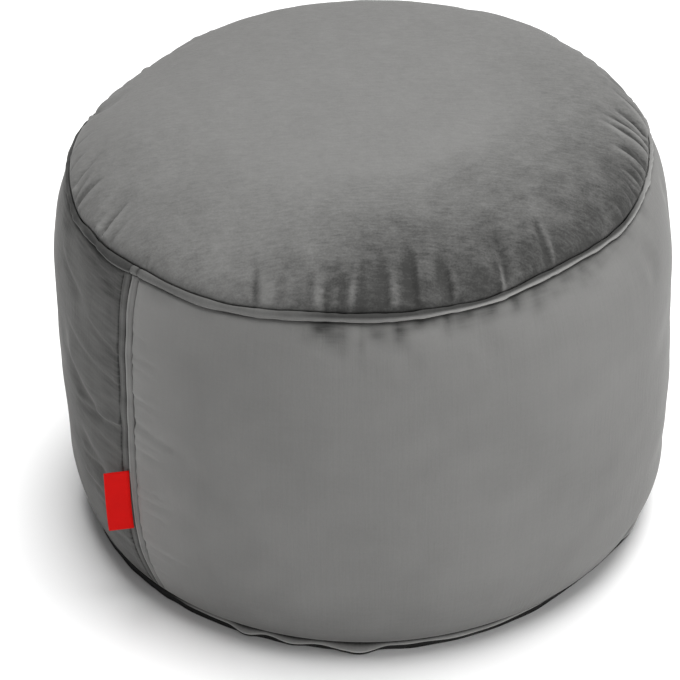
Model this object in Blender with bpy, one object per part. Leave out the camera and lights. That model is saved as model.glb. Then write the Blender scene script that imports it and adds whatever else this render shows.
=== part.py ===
"""A round velvet bean bag footstool, filled and standing on its base.

Metres, with +Z up. The origin is the centre of the base, on the floor, and the front faces -Y. Angles
round the footstool are in degrees from the front, and grow towards +X, its right-hand side.

Each piece is first turned as if the footstool were perfectly round. Then settle() moves its points to
where the filled cloth really lies: the top seam dips and rises, the wall and the foot aren't quite
round, and pleats run in from the seams.
"""

import math
from collections import namedtuple

import bmesh
import bpy
from mathutils import Vector

# Driving sizes of the round form.
OVERALL_HEIGHT = 0.365
WALL_RADIUS = 0.250
FULLEST_HEIGHT = 0.150
SEAM_RADIUS = 0.228
SEAM_HEIGHT = 0.322
FOOT_RADIUS = 0.225
CROWN_POWER = 2.6
CROWN_EDGE_POWER = 0.5
SHOULDER_POWER = 5.2
ANKLE_POWER = 3.5
SEAM_RISE_POWER = 2.0

# Sewing.
SHOULDER_RADIUS = SEAM_RADIUS + 0.0044
SHOULDER_DROP = 0.0088
ANKLE_HEIGHT = 0.0135
BAND_WIDTH = 0.0080
BAND_THICKNESS = 0.0012
LAY_GAP = 0.00045
FRONT_SEAM_ANGLE = -47.5
BACK_SEAM_ANGLE = FRONT_SEAM_ANGLE + 180
TAB_WIDTH = 0.020
TAB_THICKNESS = 0.0016
TAB_TOP = 0.134
TAB_BOTTOM = 0.076
TAB_LEAN = 58.0
TAB_ROOT_GAP = 0.0021
TAB_STEPS = 4

# Every piece that goes round is turned in the same steps, so that neighbours keep their gap.
STEPS_ROUND = 144
WELD_DISTANCE = 1e-6
SHARP_ANGLE = 50.0
CROWN_SHARES = (0.0, 0.2, 0.38, 0.54, 0.67, 0.77, 0.845, 0.9, 0.94, 0.967, 0.985, 0.9955)
WALL_HEIGHTS = (0.304, 0.291, 0.273, 0.250, 0.222, 0.192, 0.161, 0.130, 0.102, 0.077, 0.055, 0.037, 0.024)

# The seam pockets of the filled body and the sections of the two welts, as distances outwards and
# upwards. The top ones are measured from the top seam, the bottom ones from the centre of the base.
TOP_POCKET = ((-0.0013, 0.0000), (-0.00103, -0.00071), (0.00245, -0.00802), (0.0044, -SHOULDER_DROP))
TOP_WELT = ((-0.0005, -0.0009), (0.0016, -0.0002), (0.0042, -0.0026), (0.0056, -0.0058),
            (0.0049, -0.0079), (0.0026, -0.0074))
FOOT_POCKET = ((0.22647, 0.01163), (0.2206, 0.0))
FOOT_WELT = ((0.2266, 0.0110), (0.2294, 0.0102), (0.2280, 0.0060), (0.2252, 0.0026), (0.2226, 0.0030))
FOOT_WELT_TOP = FOOT_WELT[0][1]

# The section of an upright seam's band: the distance from the seam, and the share of the band's thickness.
BAND_SECTION = ((0.0003, 0.0), (0.0003, 0.7), (0.0017, 1.0), (BAND_WIDTH - 0.0014, 1.0),
                (BAND_WIDTH, 0.5), (BAND_WIDTH, 0.0))

SeamPoint = namedtuple("SeamPoint", "angle radius height")
TOP_SEAM = (
    SeamPoint(-150, 0.2275, 0.3225), SeamPoint(-120, 0.2265, 0.3145), SeamPoint(-95, 0.2305, 0.3180),
    SeamPoint(-75, 0.2335, 0.3185), SeamPoint(-60, 0.2345, 0.3135), SeamPoint(-45, 0.2335, 0.3165),
    SeamPoint(-30, 0.2315, 0.3140), SeamPoint(-15, 0.2300, 0.3165), SeamPoint(0, 0.2280, 0.3200),
    SeamPoint(12, 0.2270, 0.3215), SeamPoint(24, 0.2260, 0.3235), SeamPoint(36, 0.2235, 0.3290),
    SeamPoint(50, 0.2230, 0.3285), SeamPoint(65, 0.2225, 0.3270), SeamPoint(80, 0.2220, 0.3235),
    SeamPoint(95, 0.2240, 0.3300), SeamPoint(120, 0.2260, 0.3275), SeamPoint(150, 0.2270, 0.3285),
    SeamPoint(180, 0.2275, 0.3260),
)

WallPoint = namedtuple("WallPoint", "angle fullest foot")
WALL_ROUND = (
    WallPoint(-135, 0.2505, 0.2235), WallPoint(-90, 0.2495, 0.2260), WallPoint(-45, 0.2480, 0.2240),
    WallPoint(0, 0.2500, 0.2245), WallPoint(45, 0.2530, 0.2225), WallPoint(90, 0.2495, 0.2335),
    WallPoint(135, 0.2495, 0.2245), WallPoint(180, 0.2500, 0.2250),
)

# Pleats of the crown run from the seam to an inner end, given as a share of the seam's radius. They
# deepen over the first stretch from the inner end, and come up again just before the seam.
PLEAT_DEEPENS_OVER = 0.6
PLEAT_RISES_OVER = 0.15
CrownPleat = namedtuple("CrownPleat", "seam_angle inner_angle inner_share width depth")
CROWN_PLEATS = (
    CrownPleat(106, 113, 0.88, 0.026, 0.0026), CrownPleat(89, 98, 0.80, 0.030, 0.0042),
    CrownPleat(81, 87, 0.84, 0.024, 0.0034), CrownPleat(70, 76, 0.87, 0.024, 0.0026),
    CrownPleat(56, 60, 0.86, 0.026, 0.0024), CrownPleat(38, 44, 0.80, 0.030, 0.0034),
    CrownPleat(27, 30, 0.78, 0.028, 0.0030), CrownPleat(15, 17, 0.83, 0.026, 0.0034),
    CrownPleat(7, 9, 0.84, 0.024, 0.0028), CrownPleat(-7, -8, 0.86, 0.026, 0.0020),
    CrownPleat(-20, -23, 0.87, 0.026, 0.0022), CrownPleat(-59, -64, 0.84, 0.032, 0.0044),
    CrownPleat(-75, -83, 0.86, 0.028, 0.0034), CrownPleat(-102, -106, 0.86, 0.044, 0.0056),
    CrownPleat(-131, -135, 0.86, 0.030, 0.0026), CrownPleat(-158, -163, 0.88, 0.028, 0.0022),
    CrownPleat(128, 133, 0.87, 0.028, 0.0026), CrownPleat(152, 157, 0.86, 0.030, 0.0028),
    CrownPleat(174, 178, 0.88, 0.026, 0.0020),
)

# Creases of the wall, as troughs. A negative depth is a ridge. They fade out at both ends, and the wall
# is smooth just under the top seam.
CREASE_FADES_OVER = 0.3
SMOOTH_UNDER_SEAM = 0.012
WallCrease = namedtuple("WallCrease", "start_angle start_height end_angle end_height width depth")
WALL_CREASES = (
    WallCrease(-72, 0.182, -54, 0.160, 0.034, 0.0028), WallCrease(-72, 0.206, -54, 0.182, 0.036, -0.0022),
    WallCrease(-68, 0.128, -54, 0.104, 0.032, 0.0022), WallCrease(-40, 0.190, -28, 0.158, 0.040, 0.0016),
    WallCrease(-42, 0.132, -29, 0.104, 0.040, 0.0014), WallCrease(-9, 0.303, -3, 0.293, 0.026, 0.0018),
    WallCrease(6, 0.300, 9, 0.270, 0.030, 0.0014), WallCrease(20, 0.304, 24, 0.270, 0.032, 0.0014),
    WallCrease(62, 0.304, 66, 0.262, 0.034, 0.0018), WallCrease(84, 0.304, 88, 0.256, 0.034, 0.0016),
    WallCrease(-96, 0.300, -100, 0.252, 0.036, 0.0018), WallCrease(160, 0.300, 166, 0.250, 0.036, 0.0016),
    WallCrease(-150, 0.120, -136, 0.160, 0.040, 0.0016), WallCrease(104, 0.090, 118, 0.130, 0.040, 0.0014),
    WallCrease(74, 0.285, 122, 0.235, 0.110, 0.0022),
)

# Lobes of the bottom welt, where it is pushed down and out. Those that don't show run on from the last
# that does, unevenly, over the rest of the foot.
WeltLobe = namedtuple("WeltLobe", "angle half_width drop")
FRONT_LOBES = (WeltLobe(-33, 6, 0.0009), WeltLobe(-22, 5, 0.0013), WeltLobe(-13, 4, 0.0011),
               WeltLobe(-1, 7, 0.0020), WeltLobe(12, 6, 0.0012), WeltLobe(28, 8, 0.0009))
HIDDEN_LOBES = 15
HIDDEN_LOBES_FROM = 45.0
HIDDEN_LOBES_SPAN = 280.0
HIDDEN_LOBE_DROP = 0.0008
LOBE_SPREAD = 1.4
FLOOR_CLEARANCE = 0.0006

Finish = namedtuple("Finish", "name colour roughness")
GREY_VELVET = Finish("velvet", (0.190, 0.190, 0.184), 0.85)
DARK_VELVET = Finish("velvet_against_the_nap", (0.110, 0.110, 0.107), 0.90)
RED_TAPE = Finish("red_woven_tape", (0.560, 0.012, 0.010), 0.65)


def around(rows, column, angle):
    """A row's column at an angle, on a smooth closed curve through all the rows."""
    count = len(rows)
    turned = (angle - rows[0].angle) % 360 + rows[0].angle
    last = max(i for i in range(count) if rows[i].angle <= turned)

    def at(step):
        row = rows[(last + step) % count]
        return row.angle + 360 * ((last + step) // count), getattr(row, column)

    (a0, v0), (a1, v1), (a2, v2), (a3, v3) = at(-1), at(0), at(1), at(2)
    share = (turned - a1) / (a2 - a1)
    slope_in = (v2 - v0) / (a2 - a0) * (a2 - a1)
    slope_out = (v3 - v1) / (a3 - a1) * (a2 - a1)
    return (
        v1 * (2 * share**3 - 3 * share**2 + 1)
        + slope_in * (share**3 - 2 * share**2 + share)
        + v2 * (3 * share**2 - 2 * share**3)
        + slope_out * (share**3 - share**2)
    )


def clamp(value):
    return min(1.0, max(0.0, value))


def ease(value):
    """Turns smoothly from 0 to 1."""
    value = clamp(value)
    return value * value * (3 - 2 * value)


def bell(distance, half_width):
    """1 at the middle of a pleat, 0 past its half width."""
    return math.cos(math.pi / 2 * min(1.0, abs(distance) / half_width)) ** 2


def degrees_between(angle, other):
    return (angle - other + 180) % 360 - 180


def shoulder_share(height):
    """How far the wall has drawn in towards the top seam, from 0 to 1."""
    return clamp((height - FULLEST_HEIGHT) / (SEAM_HEIGHT - SHOULDER_DROP - FULLEST_HEIGHT)) ** SHOULDER_POWER


def ankle_share(height):
    """How far the wall has drawn in towards the foot, from 0 to 1."""
    return clamp((FULLEST_HEIGHT - height) / FULLEST_HEIGHT) ** ANKLE_POWER


def wall_radius(height):
    """The round form's wall."""
    drawn_top = (WALL_RADIUS - SHOULDER_RADIUS) * shoulder_share(height)
    drawn_foot = (WALL_RADIUS - FOOT_RADIUS) * ankle_share(height)
    return WALL_RADIUS - drawn_top - drawn_foot


def crown_height(share):
    """The round form's crown, at a share of the seam's radius. It rolls over steeply into the seam."""
    return SEAM_HEIGHT + (OVERALL_HEIGHT - SEAM_HEIGHT) * (1 - share**CROWN_POWER) ** CROWN_EDGE_POWER


def crown_pleating(angle, share):
    """How deep the pleats press the crown down at a place."""
    depth = 0.0
    for pleat in CROWN_PLEATS:
        along = (share - pleat.inner_share) / (1 - pleat.inner_share)
        if along <= 0:
            continue
        line = pleat.inner_angle + (pleat.seam_angle - pleat.inner_angle) * along
        aside = math.radians(degrees_between(angle, line)) * share * SEAM_RADIUS
        fade = ease(along / PLEAT_DEEPENS_OVER) * ease((1 - along) / PLEAT_RISES_OVER)
        depth += pleat.depth * bell(aside, pleat.width / 2) * fade
    return depth


def wall_creasing(angle, height):
    """How deep the creases press the wall in at a place."""
    depth = 0.0
    for crease in WALL_CREASES:
        run = math.radians(crease.end_angle - crease.start_angle) * WALL_RADIUS
        rise = crease.end_height - crease.start_height
        length = math.hypot(run, rise)
        across = math.radians(degrees_between(angle, crease.start_angle)) * WALL_RADIUS
        up = height - crease.start_height
        along = (across * run + up * rise) / length**2
        aside = (up * run - across * rise) / length
        fade = ease(along / CREASE_FADES_OVER) * ease((1 - along) / CREASE_FADES_OVER)
        depth += crease.depth * bell(aside, crease.width / 2) * fade
    return depth


def settle(point):
    """Where a point of the round form lies on the filled footstool."""
    radius = math.hypot(point.x, point.y)
    angle = math.degrees(math.atan2(point.x, -point.y))
    height = point.z
    on_top = height > FULLEST_HEIGHT
    flat_end = SEAM_RADIUS + TOP_POCKET[0][0] if on_top else FOOT_POCKET[-1][0]
    share = min(1.0, radius / flat_end)
    shoulder = shoulder_share(height)
    ankle = ankle_share(height)
    seam_out = around(TOP_SEAM, "radius", angle) - SEAM_RADIUS
    seam_up = around(TOP_SEAM, "height", angle) - SEAM_HEIGHT
    wall_out = around(WALL_ROUND, "fullest", angle) - WALL_RADIUS
    foot_out = around(WALL_ROUND, "foot", angle) - FOOT_RADIUS
    outwards = share * (seam_out * shoulder + foot_out * ankle + wall_out * (1 - shoulder - ankle))
    upwards = seam_up * share**SEAM_RISE_POWER * min(1.0, height / SEAM_HEIGHT)
    if share < 1 and on_top:
        upwards -= crown_pleating(angle, share)
    if share == 1:
        below_seam = SEAM_HEIGHT - SHOULDER_DROP - height
        outwards -= wall_creasing(angle, height) * ease(below_seam / SMOOTH_UNDER_SEAM)
    out = Vector((math.sin(math.radians(angle)), -math.cos(math.radians(angle)), 0))
    return out * (radius + outwards) + Vector((0, 0, height + upwards))


def material_of(finish):
    material = bpy.data.materials.new(finish.name)
    material.use_nodes = True
    shader = material.node_tree.nodes["Principled BSDF"]
    shader.inputs["Base Color"].default_value = (*finish.colour, 1)
    shader.inputs["Roughness"].default_value = finish.roughness
    shader.inputs["Metallic"].default_value = 0
    material.diffuse_color = (*finish.colour, 1)
    return material


def add_piece(name, shape, finish):
    """Settles a finished shape and adds it to the scene as a piece of its own."""
    for vert in shape.verts:
        vert.co = settle(vert.co)
    bmesh.ops.recalc_face_normals(shape, faces=shape.faces)
    mesh = bpy.data.meshes.new(name)
    shape.to_mesh(mesh)
    shape.free()
    mesh.shade_smooth()
    mesh.set_sharp_from_angle(angle=math.radians(SHARP_ANGLE))
    mesh.materials.append(material_of(finish))
    piece = bpy.data.objects.new(name, mesh)
    bpy.context.scene.collection.objects.link(piece)
    return piece


def turned(section, closed):
    """A section of radius and height points, spun into a full round from the front."""
    shape = bmesh.new()
    verts = [shape.verts.new((0, -radius, height)) for radius, height in section]
    edges = [shape.edges.new(pair) for pair in zip(verts, verts[1:])]
    if closed:
        edges.append(shape.edges.new((verts[-1], verts[0])))
    bmesh.ops.spin(shape, geom=verts + edges, cent=(0, 0, 0), axis=(0, 0, 1), angle=math.tau,
                   steps=STEPS_ROUND, use_merge=True)
    bmesh.ops.remove_doubles(shape, verts=shape.verts, dist=WELD_DISTANCE)
    return shape


def make_filled_body():
    """The crown, the top seam's pocket, the wall, the foot's pocket and the flat base, in one skin."""
    crown_edge = SEAM_RADIUS + TOP_POCKET[0][0]
    section = [(crown_edge * share, crown_height(share)) for share in CROWN_SHARES]
    section += [(SEAM_RADIUS + out, SEAM_HEIGHT + up) for out, up in TOP_POCKET]
    section += [(wall_radius(height), height) for height in (*WALL_HEIGHTS, ANKLE_HEIGHT)]
    section += [*FOOT_POCKET, (0.0, 0.0)]
    return add_piece("filled_body", turned(section, closed=False), GREY_VELVET)


def make_top_welt():
    section = [(SEAM_RADIUS + out, SEAM_HEIGHT + up) for out, up in TOP_WELT]
    return add_piece("top_welt", turned(section, closed=True), GREY_VELVET)


def all_lobes():
    """The lobes that show at the front, and an uneven run of them round the rest of the foot."""
    lobes = list(FRONT_LOBES)
    spacing = HIDDEN_LOBES_SPAN / HIDDEN_LOBES
    for index in range(HIDDEN_LOBES):
        angle = HIDDEN_LOBES_FROM + spacing * (index + 0.4 * math.sin(2.4 * index))
        drop = HIDDEN_LOBE_DROP * (1 + 0.6 * math.sin(1.7 * index))
        lobes.append(WeltLobe(angle, spacing / 3, drop))
    return lobes


def make_bottom_welt():
    """A thin welt tucked under the wall. Its lower edge hangs in lobes, just clear of the floor."""
    shape = turned(FOOT_WELT, closed=True)
    lobes = all_lobes()
    for vert in shape.verts:
        angle = math.degrees(math.atan2(vert.co.x, -vert.co.y))
        low = (FOOT_WELT_TOP - vert.co.z) / FOOT_WELT_TOP
        drop = sum(lobe.drop * bell(degrees_between(angle, lobe.angle), lobe.half_width) for lobe in lobes)
        out = Vector((vert.co.x, vert.co.y, 0)).normalized()
        vert.co += out * (LOBE_SPREAD * drop * max(0.0, low))
        vert.co.z = max(FLOOR_CLEARANCE, vert.co.z - drop * max(0.0, low))
    return add_piece("bottom_welt", shape, DARK_VELVET)


def make_seam_band(name, seam_angle, side, finish):
    """The seam allowance on one side of an upright seam, stitched flat on the wall."""
    heights = (SEAM_HEIGHT - SHOULDER_DROP, *WALL_HEIGHTS, ANKLE_HEIGHT)
    shape = bmesh.new()
    loops = []
    for height in heights:
        ring = []
        for across, proud in BAND_SECTION:
            radius = wall_radius(height) + LAY_GAP + proud * BAND_THICKNESS
            turn = math.radians(seam_angle) + side * across / radius
            ring.append(shape.verts.new((radius * math.sin(turn), -radius * math.cos(turn), height)))
        loops.append([shape.edges.new((ring[i - 1], ring[i])) for i in range(len(ring))])
    for upper, lower in zip(loops, loops[1:]):
        bmesh.ops.bridge_loops(shape, edges=upper + lower)
    bmesh.ops.holes_fill(shape, edges=loops[0] + loops[-1], sides=len(BAND_SECTION))
    return add_piece(name, shape, finish)


def make_label_tab():
    """A folded tape, caught in the front seam's line, that stands out over the left band."""
    turn = math.radians(FRONT_SEAM_ANGLE)
    outward = Vector((math.sin(turn), -math.cos(turn), 0))
    leftward = Vector((-math.cos(turn), -math.sin(turn), 0))
    lean = math.radians(TAB_LEAN)
    along = leftward * math.cos(lean) + outward * math.sin(lean)
    face = outward * math.cos(lean) - leftward * math.sin(lean)
    half = TAB_THICKNESS / 2
    fold = TAB_WIDTH - half
    corners = (
        (0, -half), (fold, -half), (TAB_WIDTH, -half / 2),
        (TAB_WIDTH, half / 2), (fold, half), (0, half),
    )
    shape = bmesh.new()
    loops = []
    for step in range(TAB_STEPS + 1):
        height = TAB_TOP + (TAB_BOTTOM - TAB_TOP) * step / TAB_STEPS
        root = outward * (wall_radius(height) + TAB_ROOT_GAP) + Vector((0, 0, height))
        ring = [shape.verts.new(root + along * reach + face * aside) for reach, aside in corners]
        loops.append([shape.edges.new((ring[i - 1], ring[i])) for i in range(len(ring))])
    for upper, lower in zip(loops, loops[1:]):
        bmesh.ops.bridge_loops(shape, edges=upper + lower)
    bmesh.ops.holes_fill(shape, edges=loops[0] + loops[-1], sides=len(corners))
    return add_piece("label_tab", shape, RED_TAPE)


def main():
    for old in list(bpy.data.objects):
        bpy.data.objects.remove(old)
    make_filled_body()
    make_top_welt()
    make_bottom_welt()
    make_seam_band("front_seam_left_band", FRONT_SEAM_ANGLE, -1, DARK_VELVET)
    make_seam_band("front_seam_right_band", FRONT_SEAM_ANGLE, 1, GREY_VELVET)
    make_seam_band("back_seam_left_band", BACK_SEAM_ANGLE, -1, GREY_VELVET)
    make_seam_band("back_seam_right_band", BACK_SEAM_ANGLE, 1, DARK_VELVET)
    make_label_tab()


main()
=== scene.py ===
"""The looks of the round velvet bean bag footstool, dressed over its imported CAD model.

Metres, with +Z up. The origin is the centre of the base, on the floor, and the front faces -Y. Angles
round the footstool are in degrees from the front, and grow towards +X, its right-hand side.

Each piece is first turned as if the footstool were perfectly round. Then settled() moves its points to
where the filled cloth lies, as in the part's own source, and finer folds are raised along the normals.
"""

import math
from collections import namedtuple

import bmesh
import bpy
import numpy as np
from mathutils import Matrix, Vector


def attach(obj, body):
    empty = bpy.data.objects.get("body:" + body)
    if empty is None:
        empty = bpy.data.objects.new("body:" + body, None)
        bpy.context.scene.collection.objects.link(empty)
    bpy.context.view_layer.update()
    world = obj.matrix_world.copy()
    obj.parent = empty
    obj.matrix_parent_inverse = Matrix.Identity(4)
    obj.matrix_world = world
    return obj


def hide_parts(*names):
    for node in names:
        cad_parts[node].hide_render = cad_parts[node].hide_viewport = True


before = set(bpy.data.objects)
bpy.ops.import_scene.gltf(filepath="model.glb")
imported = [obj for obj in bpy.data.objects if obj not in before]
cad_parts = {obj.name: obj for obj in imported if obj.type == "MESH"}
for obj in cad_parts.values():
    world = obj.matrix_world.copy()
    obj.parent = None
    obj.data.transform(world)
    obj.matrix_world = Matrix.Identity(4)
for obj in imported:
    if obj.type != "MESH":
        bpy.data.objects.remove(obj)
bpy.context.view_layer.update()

bl_info = {
    "name": "Velvet Footstool",
    "version": (1, 0, 0),
    "blender": (4, 5, 0),
    "location": "View3D > Sidebar > Footstool",
    "description": "Adds a round velvet bean bag footstool piece by piece, with its stage",
    "category": "Add Mesh",
}

# Driving sizes of the round form. The rest of the footstool is worked out from these.
OVERALL_HEIGHT = 0.365
WALL_RADIUS = 0.250
FULLEST_HEIGHT = 0.150
SEAM_RADIUS = 0.228
SEAM_HEIGHT = 0.322
FOOT_RADIUS = 0.225
CROWN_POWER = 2.6
CROWN_EDGE_POWER = 0.5
SHOULDER_POWER = 5.2
ANKLE_POWER = 3.5
SEAM_RISE_POWER = 2.0
SHOULDER_RADIUS = SEAM_RADIUS + 0.0044
SHOULDER_HEIGHT = SEAM_HEIGHT - 0.0088
CROWN_EDGE = SEAM_RADIUS - 0.0013
FOOT_EDGE = 0.2206
ANKLE_HEIGHT = 0.0116
CROWN_SKIN_FLOOR = SEAM_HEIGHT - 0.0025

# How many columns of faces go round each turned piece.
CROWN_COLUMNS = 560
WALL_COLUMNS = 640
TOP_WELT_COLUMNS = 900
FOOT_WELT_COLUMNS = 720

# The upright seams, in degrees from the front.
FRONT_SEAM_ANGLE = -47.5
BACK_SEAM_ANGLE = FRONT_SEAM_ANGLE + 180
SEAM_ANGLES = (FRONT_SEAM_ANGLE, BACK_SEAM_ANGLE)

SeamPoint = namedtuple("SeamPoint", "angle radius height")
TOP_SEAM = [SeamPoint(*row) for row in (
    (-150, 0.2275, 0.3225), (-120, 0.2265, 0.3145), (-95, 0.2305, 0.3180), (-75, 0.2335, 0.3185),
    (-60, 0.2345, 0.3135), (-45, 0.2335, 0.3165), (-30, 0.2315, 0.3140), (-15, 0.2300, 0.3165),
    (0, 0.2280, 0.3200), (12, 0.2270, 0.3215), (24, 0.2260, 0.3235), (36, 0.2235, 0.3290),
    (50, 0.2230, 0.3285), (65, 0.2225, 0.3270), (80, 0.2220, 0.3235), (95, 0.2240, 0.3300),
    (120, 0.2260, 0.3275), (150, 0.2270, 0.3285), (180, 0.2275, 0.3260),
)]

# The top welt wanders up and down along the seam, and the crown bulges over part of its width.
WELT_HALF_HEIGHT = 0.0042
WELT_HALF_DEPTH = 0.0030
RIM_POWER = 14
RIM_DEPTH = 0.0055
WeltPoint = namedtuple("WeltPoint", "angle drop width_share")
WELT_LINE = [WeltPoint(*row) for row in (
    (-150, 0.0006, 0.60), (-120, 0.0010, 0.58), (-90, -0.0010, 0.52), (-76, 0.0009, 0.46),
    (-70, 0.0037, 0.53), (-62, -0.0028, 0.60), (-53, -0.0006, 0.74), (-44, -0.0011, 0.69),
    (-30, -0.0012, 0.68), (-16, -0.0021, 0.64), (-9, -0.0024, 0.72), (0, 0.0000, 0.72),
    (8, 0.0008, 0.66), (15, 0.0009, 0.50), (22, 0.0018, 0.50), (30, 0.0027, 0.53), (37, 0.0035, 0.55),
    (45, 0.0024, 0.45), (52, 0.0030, 0.50), (60, 0.0039, 0.54), (68, 0.0015, 0.50), (76, -0.0024, 0.48),
    (92, 0.0000, 0.52), (115, 0.0012, 0.58), (145, -0.0010, 0.62), (178, 0.0012, 0.58),
)]

# How far out the wall lies where it is fullest, and at its foot.
WallPoint = namedtuple("WallPoint", "angle fullest foot")
WALL_ROUND = [WallPoint(*row) for row in (
    (-135, 0.2505, 0.2235), (-90, 0.2495, 0.2260), (-45, 0.2480, 0.2240), (0, 0.2500, 0.2245),
    (45, 0.2530, 0.2225), (90, 0.2495, 0.2335), (135, 0.2495, 0.2245), (180, 0.2500, 0.2250),
)]

# Broad pleats of the crown run from the seam to an inner end, given as a share of the seam's radius.
PLEAT_DEEPENS_OVER = 0.6
PLEAT_RISES_OVER = 0.15
CrownPleat = namedtuple("CrownPleat", "seam_angle inner_angle inner_share width depth")
CROWN_PLEATS = [CrownPleat(*row) for row in (
    (106, 113, 0.88, 0.026, 0.0026), (89, 98, 0.80, 0.030, 0.0042), (81, 87, 0.84, 0.024, 0.0034),
    (70, 76, 0.87, 0.024, 0.0026), (56, 60, 0.86, 0.026, 0.0024), (38, 44, 0.80, 0.030, 0.0034),
    (27, 30, 0.78, 0.028, 0.0030), (15, 17, 0.83, 0.026, 0.0034), (7, 9, 0.84, 0.024, 0.0028),
    (-7, -8, 0.86, 0.026, 0.0020), (-20, -23, 0.87, 0.026, 0.0022), (-59, -64, 0.84, 0.032, 0.0044),
    (-75, -83, 0.86, 0.028, 0.0034), (-102, -106, 0.86, 0.044, 0.0056),
    (-131, -135, 0.86, 0.030, 0.0026), (-158, -163, 0.88, 0.028, 0.0022),
    (128, 133, 0.87, 0.028, 0.0026), (152, 157, 0.86, 0.030, 0.0028), (174, 178, 0.88, 0.026, 0.0020),
)]

# Creases of the wall, as troughs. A negative depth is a ridge.
CREASE_FADES_OVER = 0.3
SMOOTH_UNDER_SEAM = 0.012
WallCrease = namedtuple("WallCrease", "start_angle start_height end_angle end_height width depth")
WALL_CREASES = [WallCrease(*row) for row in (
    (-72, 0.182, -54, 0.160, 0.034, 0.0028), (-72, 0.206, -54, 0.182, 0.036, -0.0022),
    (-68, 0.128, -54, 0.104, 0.032, 0.0022), (-40, 0.190, -28, 0.158, 0.040, 0.0016),
    (-42, 0.132, -29, 0.104, 0.040, 0.0014), (-9, 0.303, -3, 0.293, 0.026, 0.0018),
    (6, 0.300, 9, 0.270, 0.030, 0.0014), (20, 0.304, 24, 0.270, 0.032, 0.0014),
    (62, 0.304, 66, 0.262, 0.034, 0.0018), (84, 0.304, 88, 0.256, 0.034, 0.0016),
    (-96, 0.300, -100, 0.252, 0.036, 0.0018), (160, 0.300, 166, 0.250, 0.036, 0.0016),
    (-150, 0.120, -136, 0.160, 0.040, 0.0016), (104, 0.090, 118, 0.130, 0.040, 0.0014),
    (74, 0.285, 122, 0.235, 0.110, 0.0022),
)]

# Narrow folds of the crown, each a ridge beside a trough. The ridge lies on the side of the greater
# angle where the height is positive. They are sharp at the seam, and fade towards their inner ends.
FOLD_FADES_OVER = 0.75
CrownFold = namedtuple("CrownFold", "seam_angle inner_angle inner_share half_width height")
CROWN_FOLDS = [CrownFold(*row) for row in (
    (116.7, 118.4, 0.93, 0.0026, -0.0006), (107.0, 111.5, 0.92, 0.0026, -0.0009),
    (99.0, 108.0, 0.91, 0.0024, -0.0012), (93.0, 105.5, 0.885, 0.0030, -0.0017),
    (89.5, 96.2, 0.86, 0.0022, -0.0013), (86.6, 91.0, 0.81, 0.0026, -0.0016),
    (84.3, 88.8, 0.80, 0.0024, -0.0017), (78.0, 80.0, 0.86, 0.0028, -0.0018),
    (75.0, 76.2, 0.93, 0.0018, -0.0006), (72.4, 74.0, 0.91, 0.0020, -0.0011),
    (70.2, 70.6, 0.93, 0.0022, 0.0010), (66.2, 66.4, 0.94, 0.0022, -0.0006),
    (61.4, 61.2, 0.93, 0.0020, -0.0006), (55.6, 58.0, 0.90, 0.0034, 0.0006),
    (49.0, 51.0, 0.92, 0.0030, 0.0005), (38.0, 41.6, 0.83, 0.0026, 0.0013),
    (26.9, 29.6, 0.80, 0.0028, -0.0014), (16.4, 17.3, 0.85, 0.0030, 0.0012),
    (9.6, 10.6, 0.84, 0.0034, 0.0012), (4.4, 4.7, 0.87, 0.0028, 0.0010),
    (-3.2, -3.2, 0.89, 0.0026, 0.0009), (-6.2, -6.4, 0.91, 0.0024, 0.0006),
    (-9.4, -9.8, 0.91, 0.0028, 0.0006), (-15.0, -15.8, 0.90, 0.0030, 0.0006),
    (-19.6, -22.4, 0.88, 0.0032, 0.0010), (-44.0, -44.6, 0.96, 0.0016, 0.0005),
    (-54.6, -55.4, 0.90, 0.0024, 0.0006), (-58.0, -60.2, 0.86, 0.0022, 0.0017),
    (-61.0, -62.4, 0.93, 0.0020, 0.0007), (-70.4, -71.0, 0.88, 0.0024, 0.0015),
    (-72.6, -74.6, 0.92, 0.0022, 0.0012), (-75.8, -79.0, 0.90, 0.0026, 0.0012),
    (-81.0, -84.0, 0.92, 0.0022, 0.0007), (-87.4, -90.8, 0.91, 0.0022, 0.0008),
)]

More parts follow.
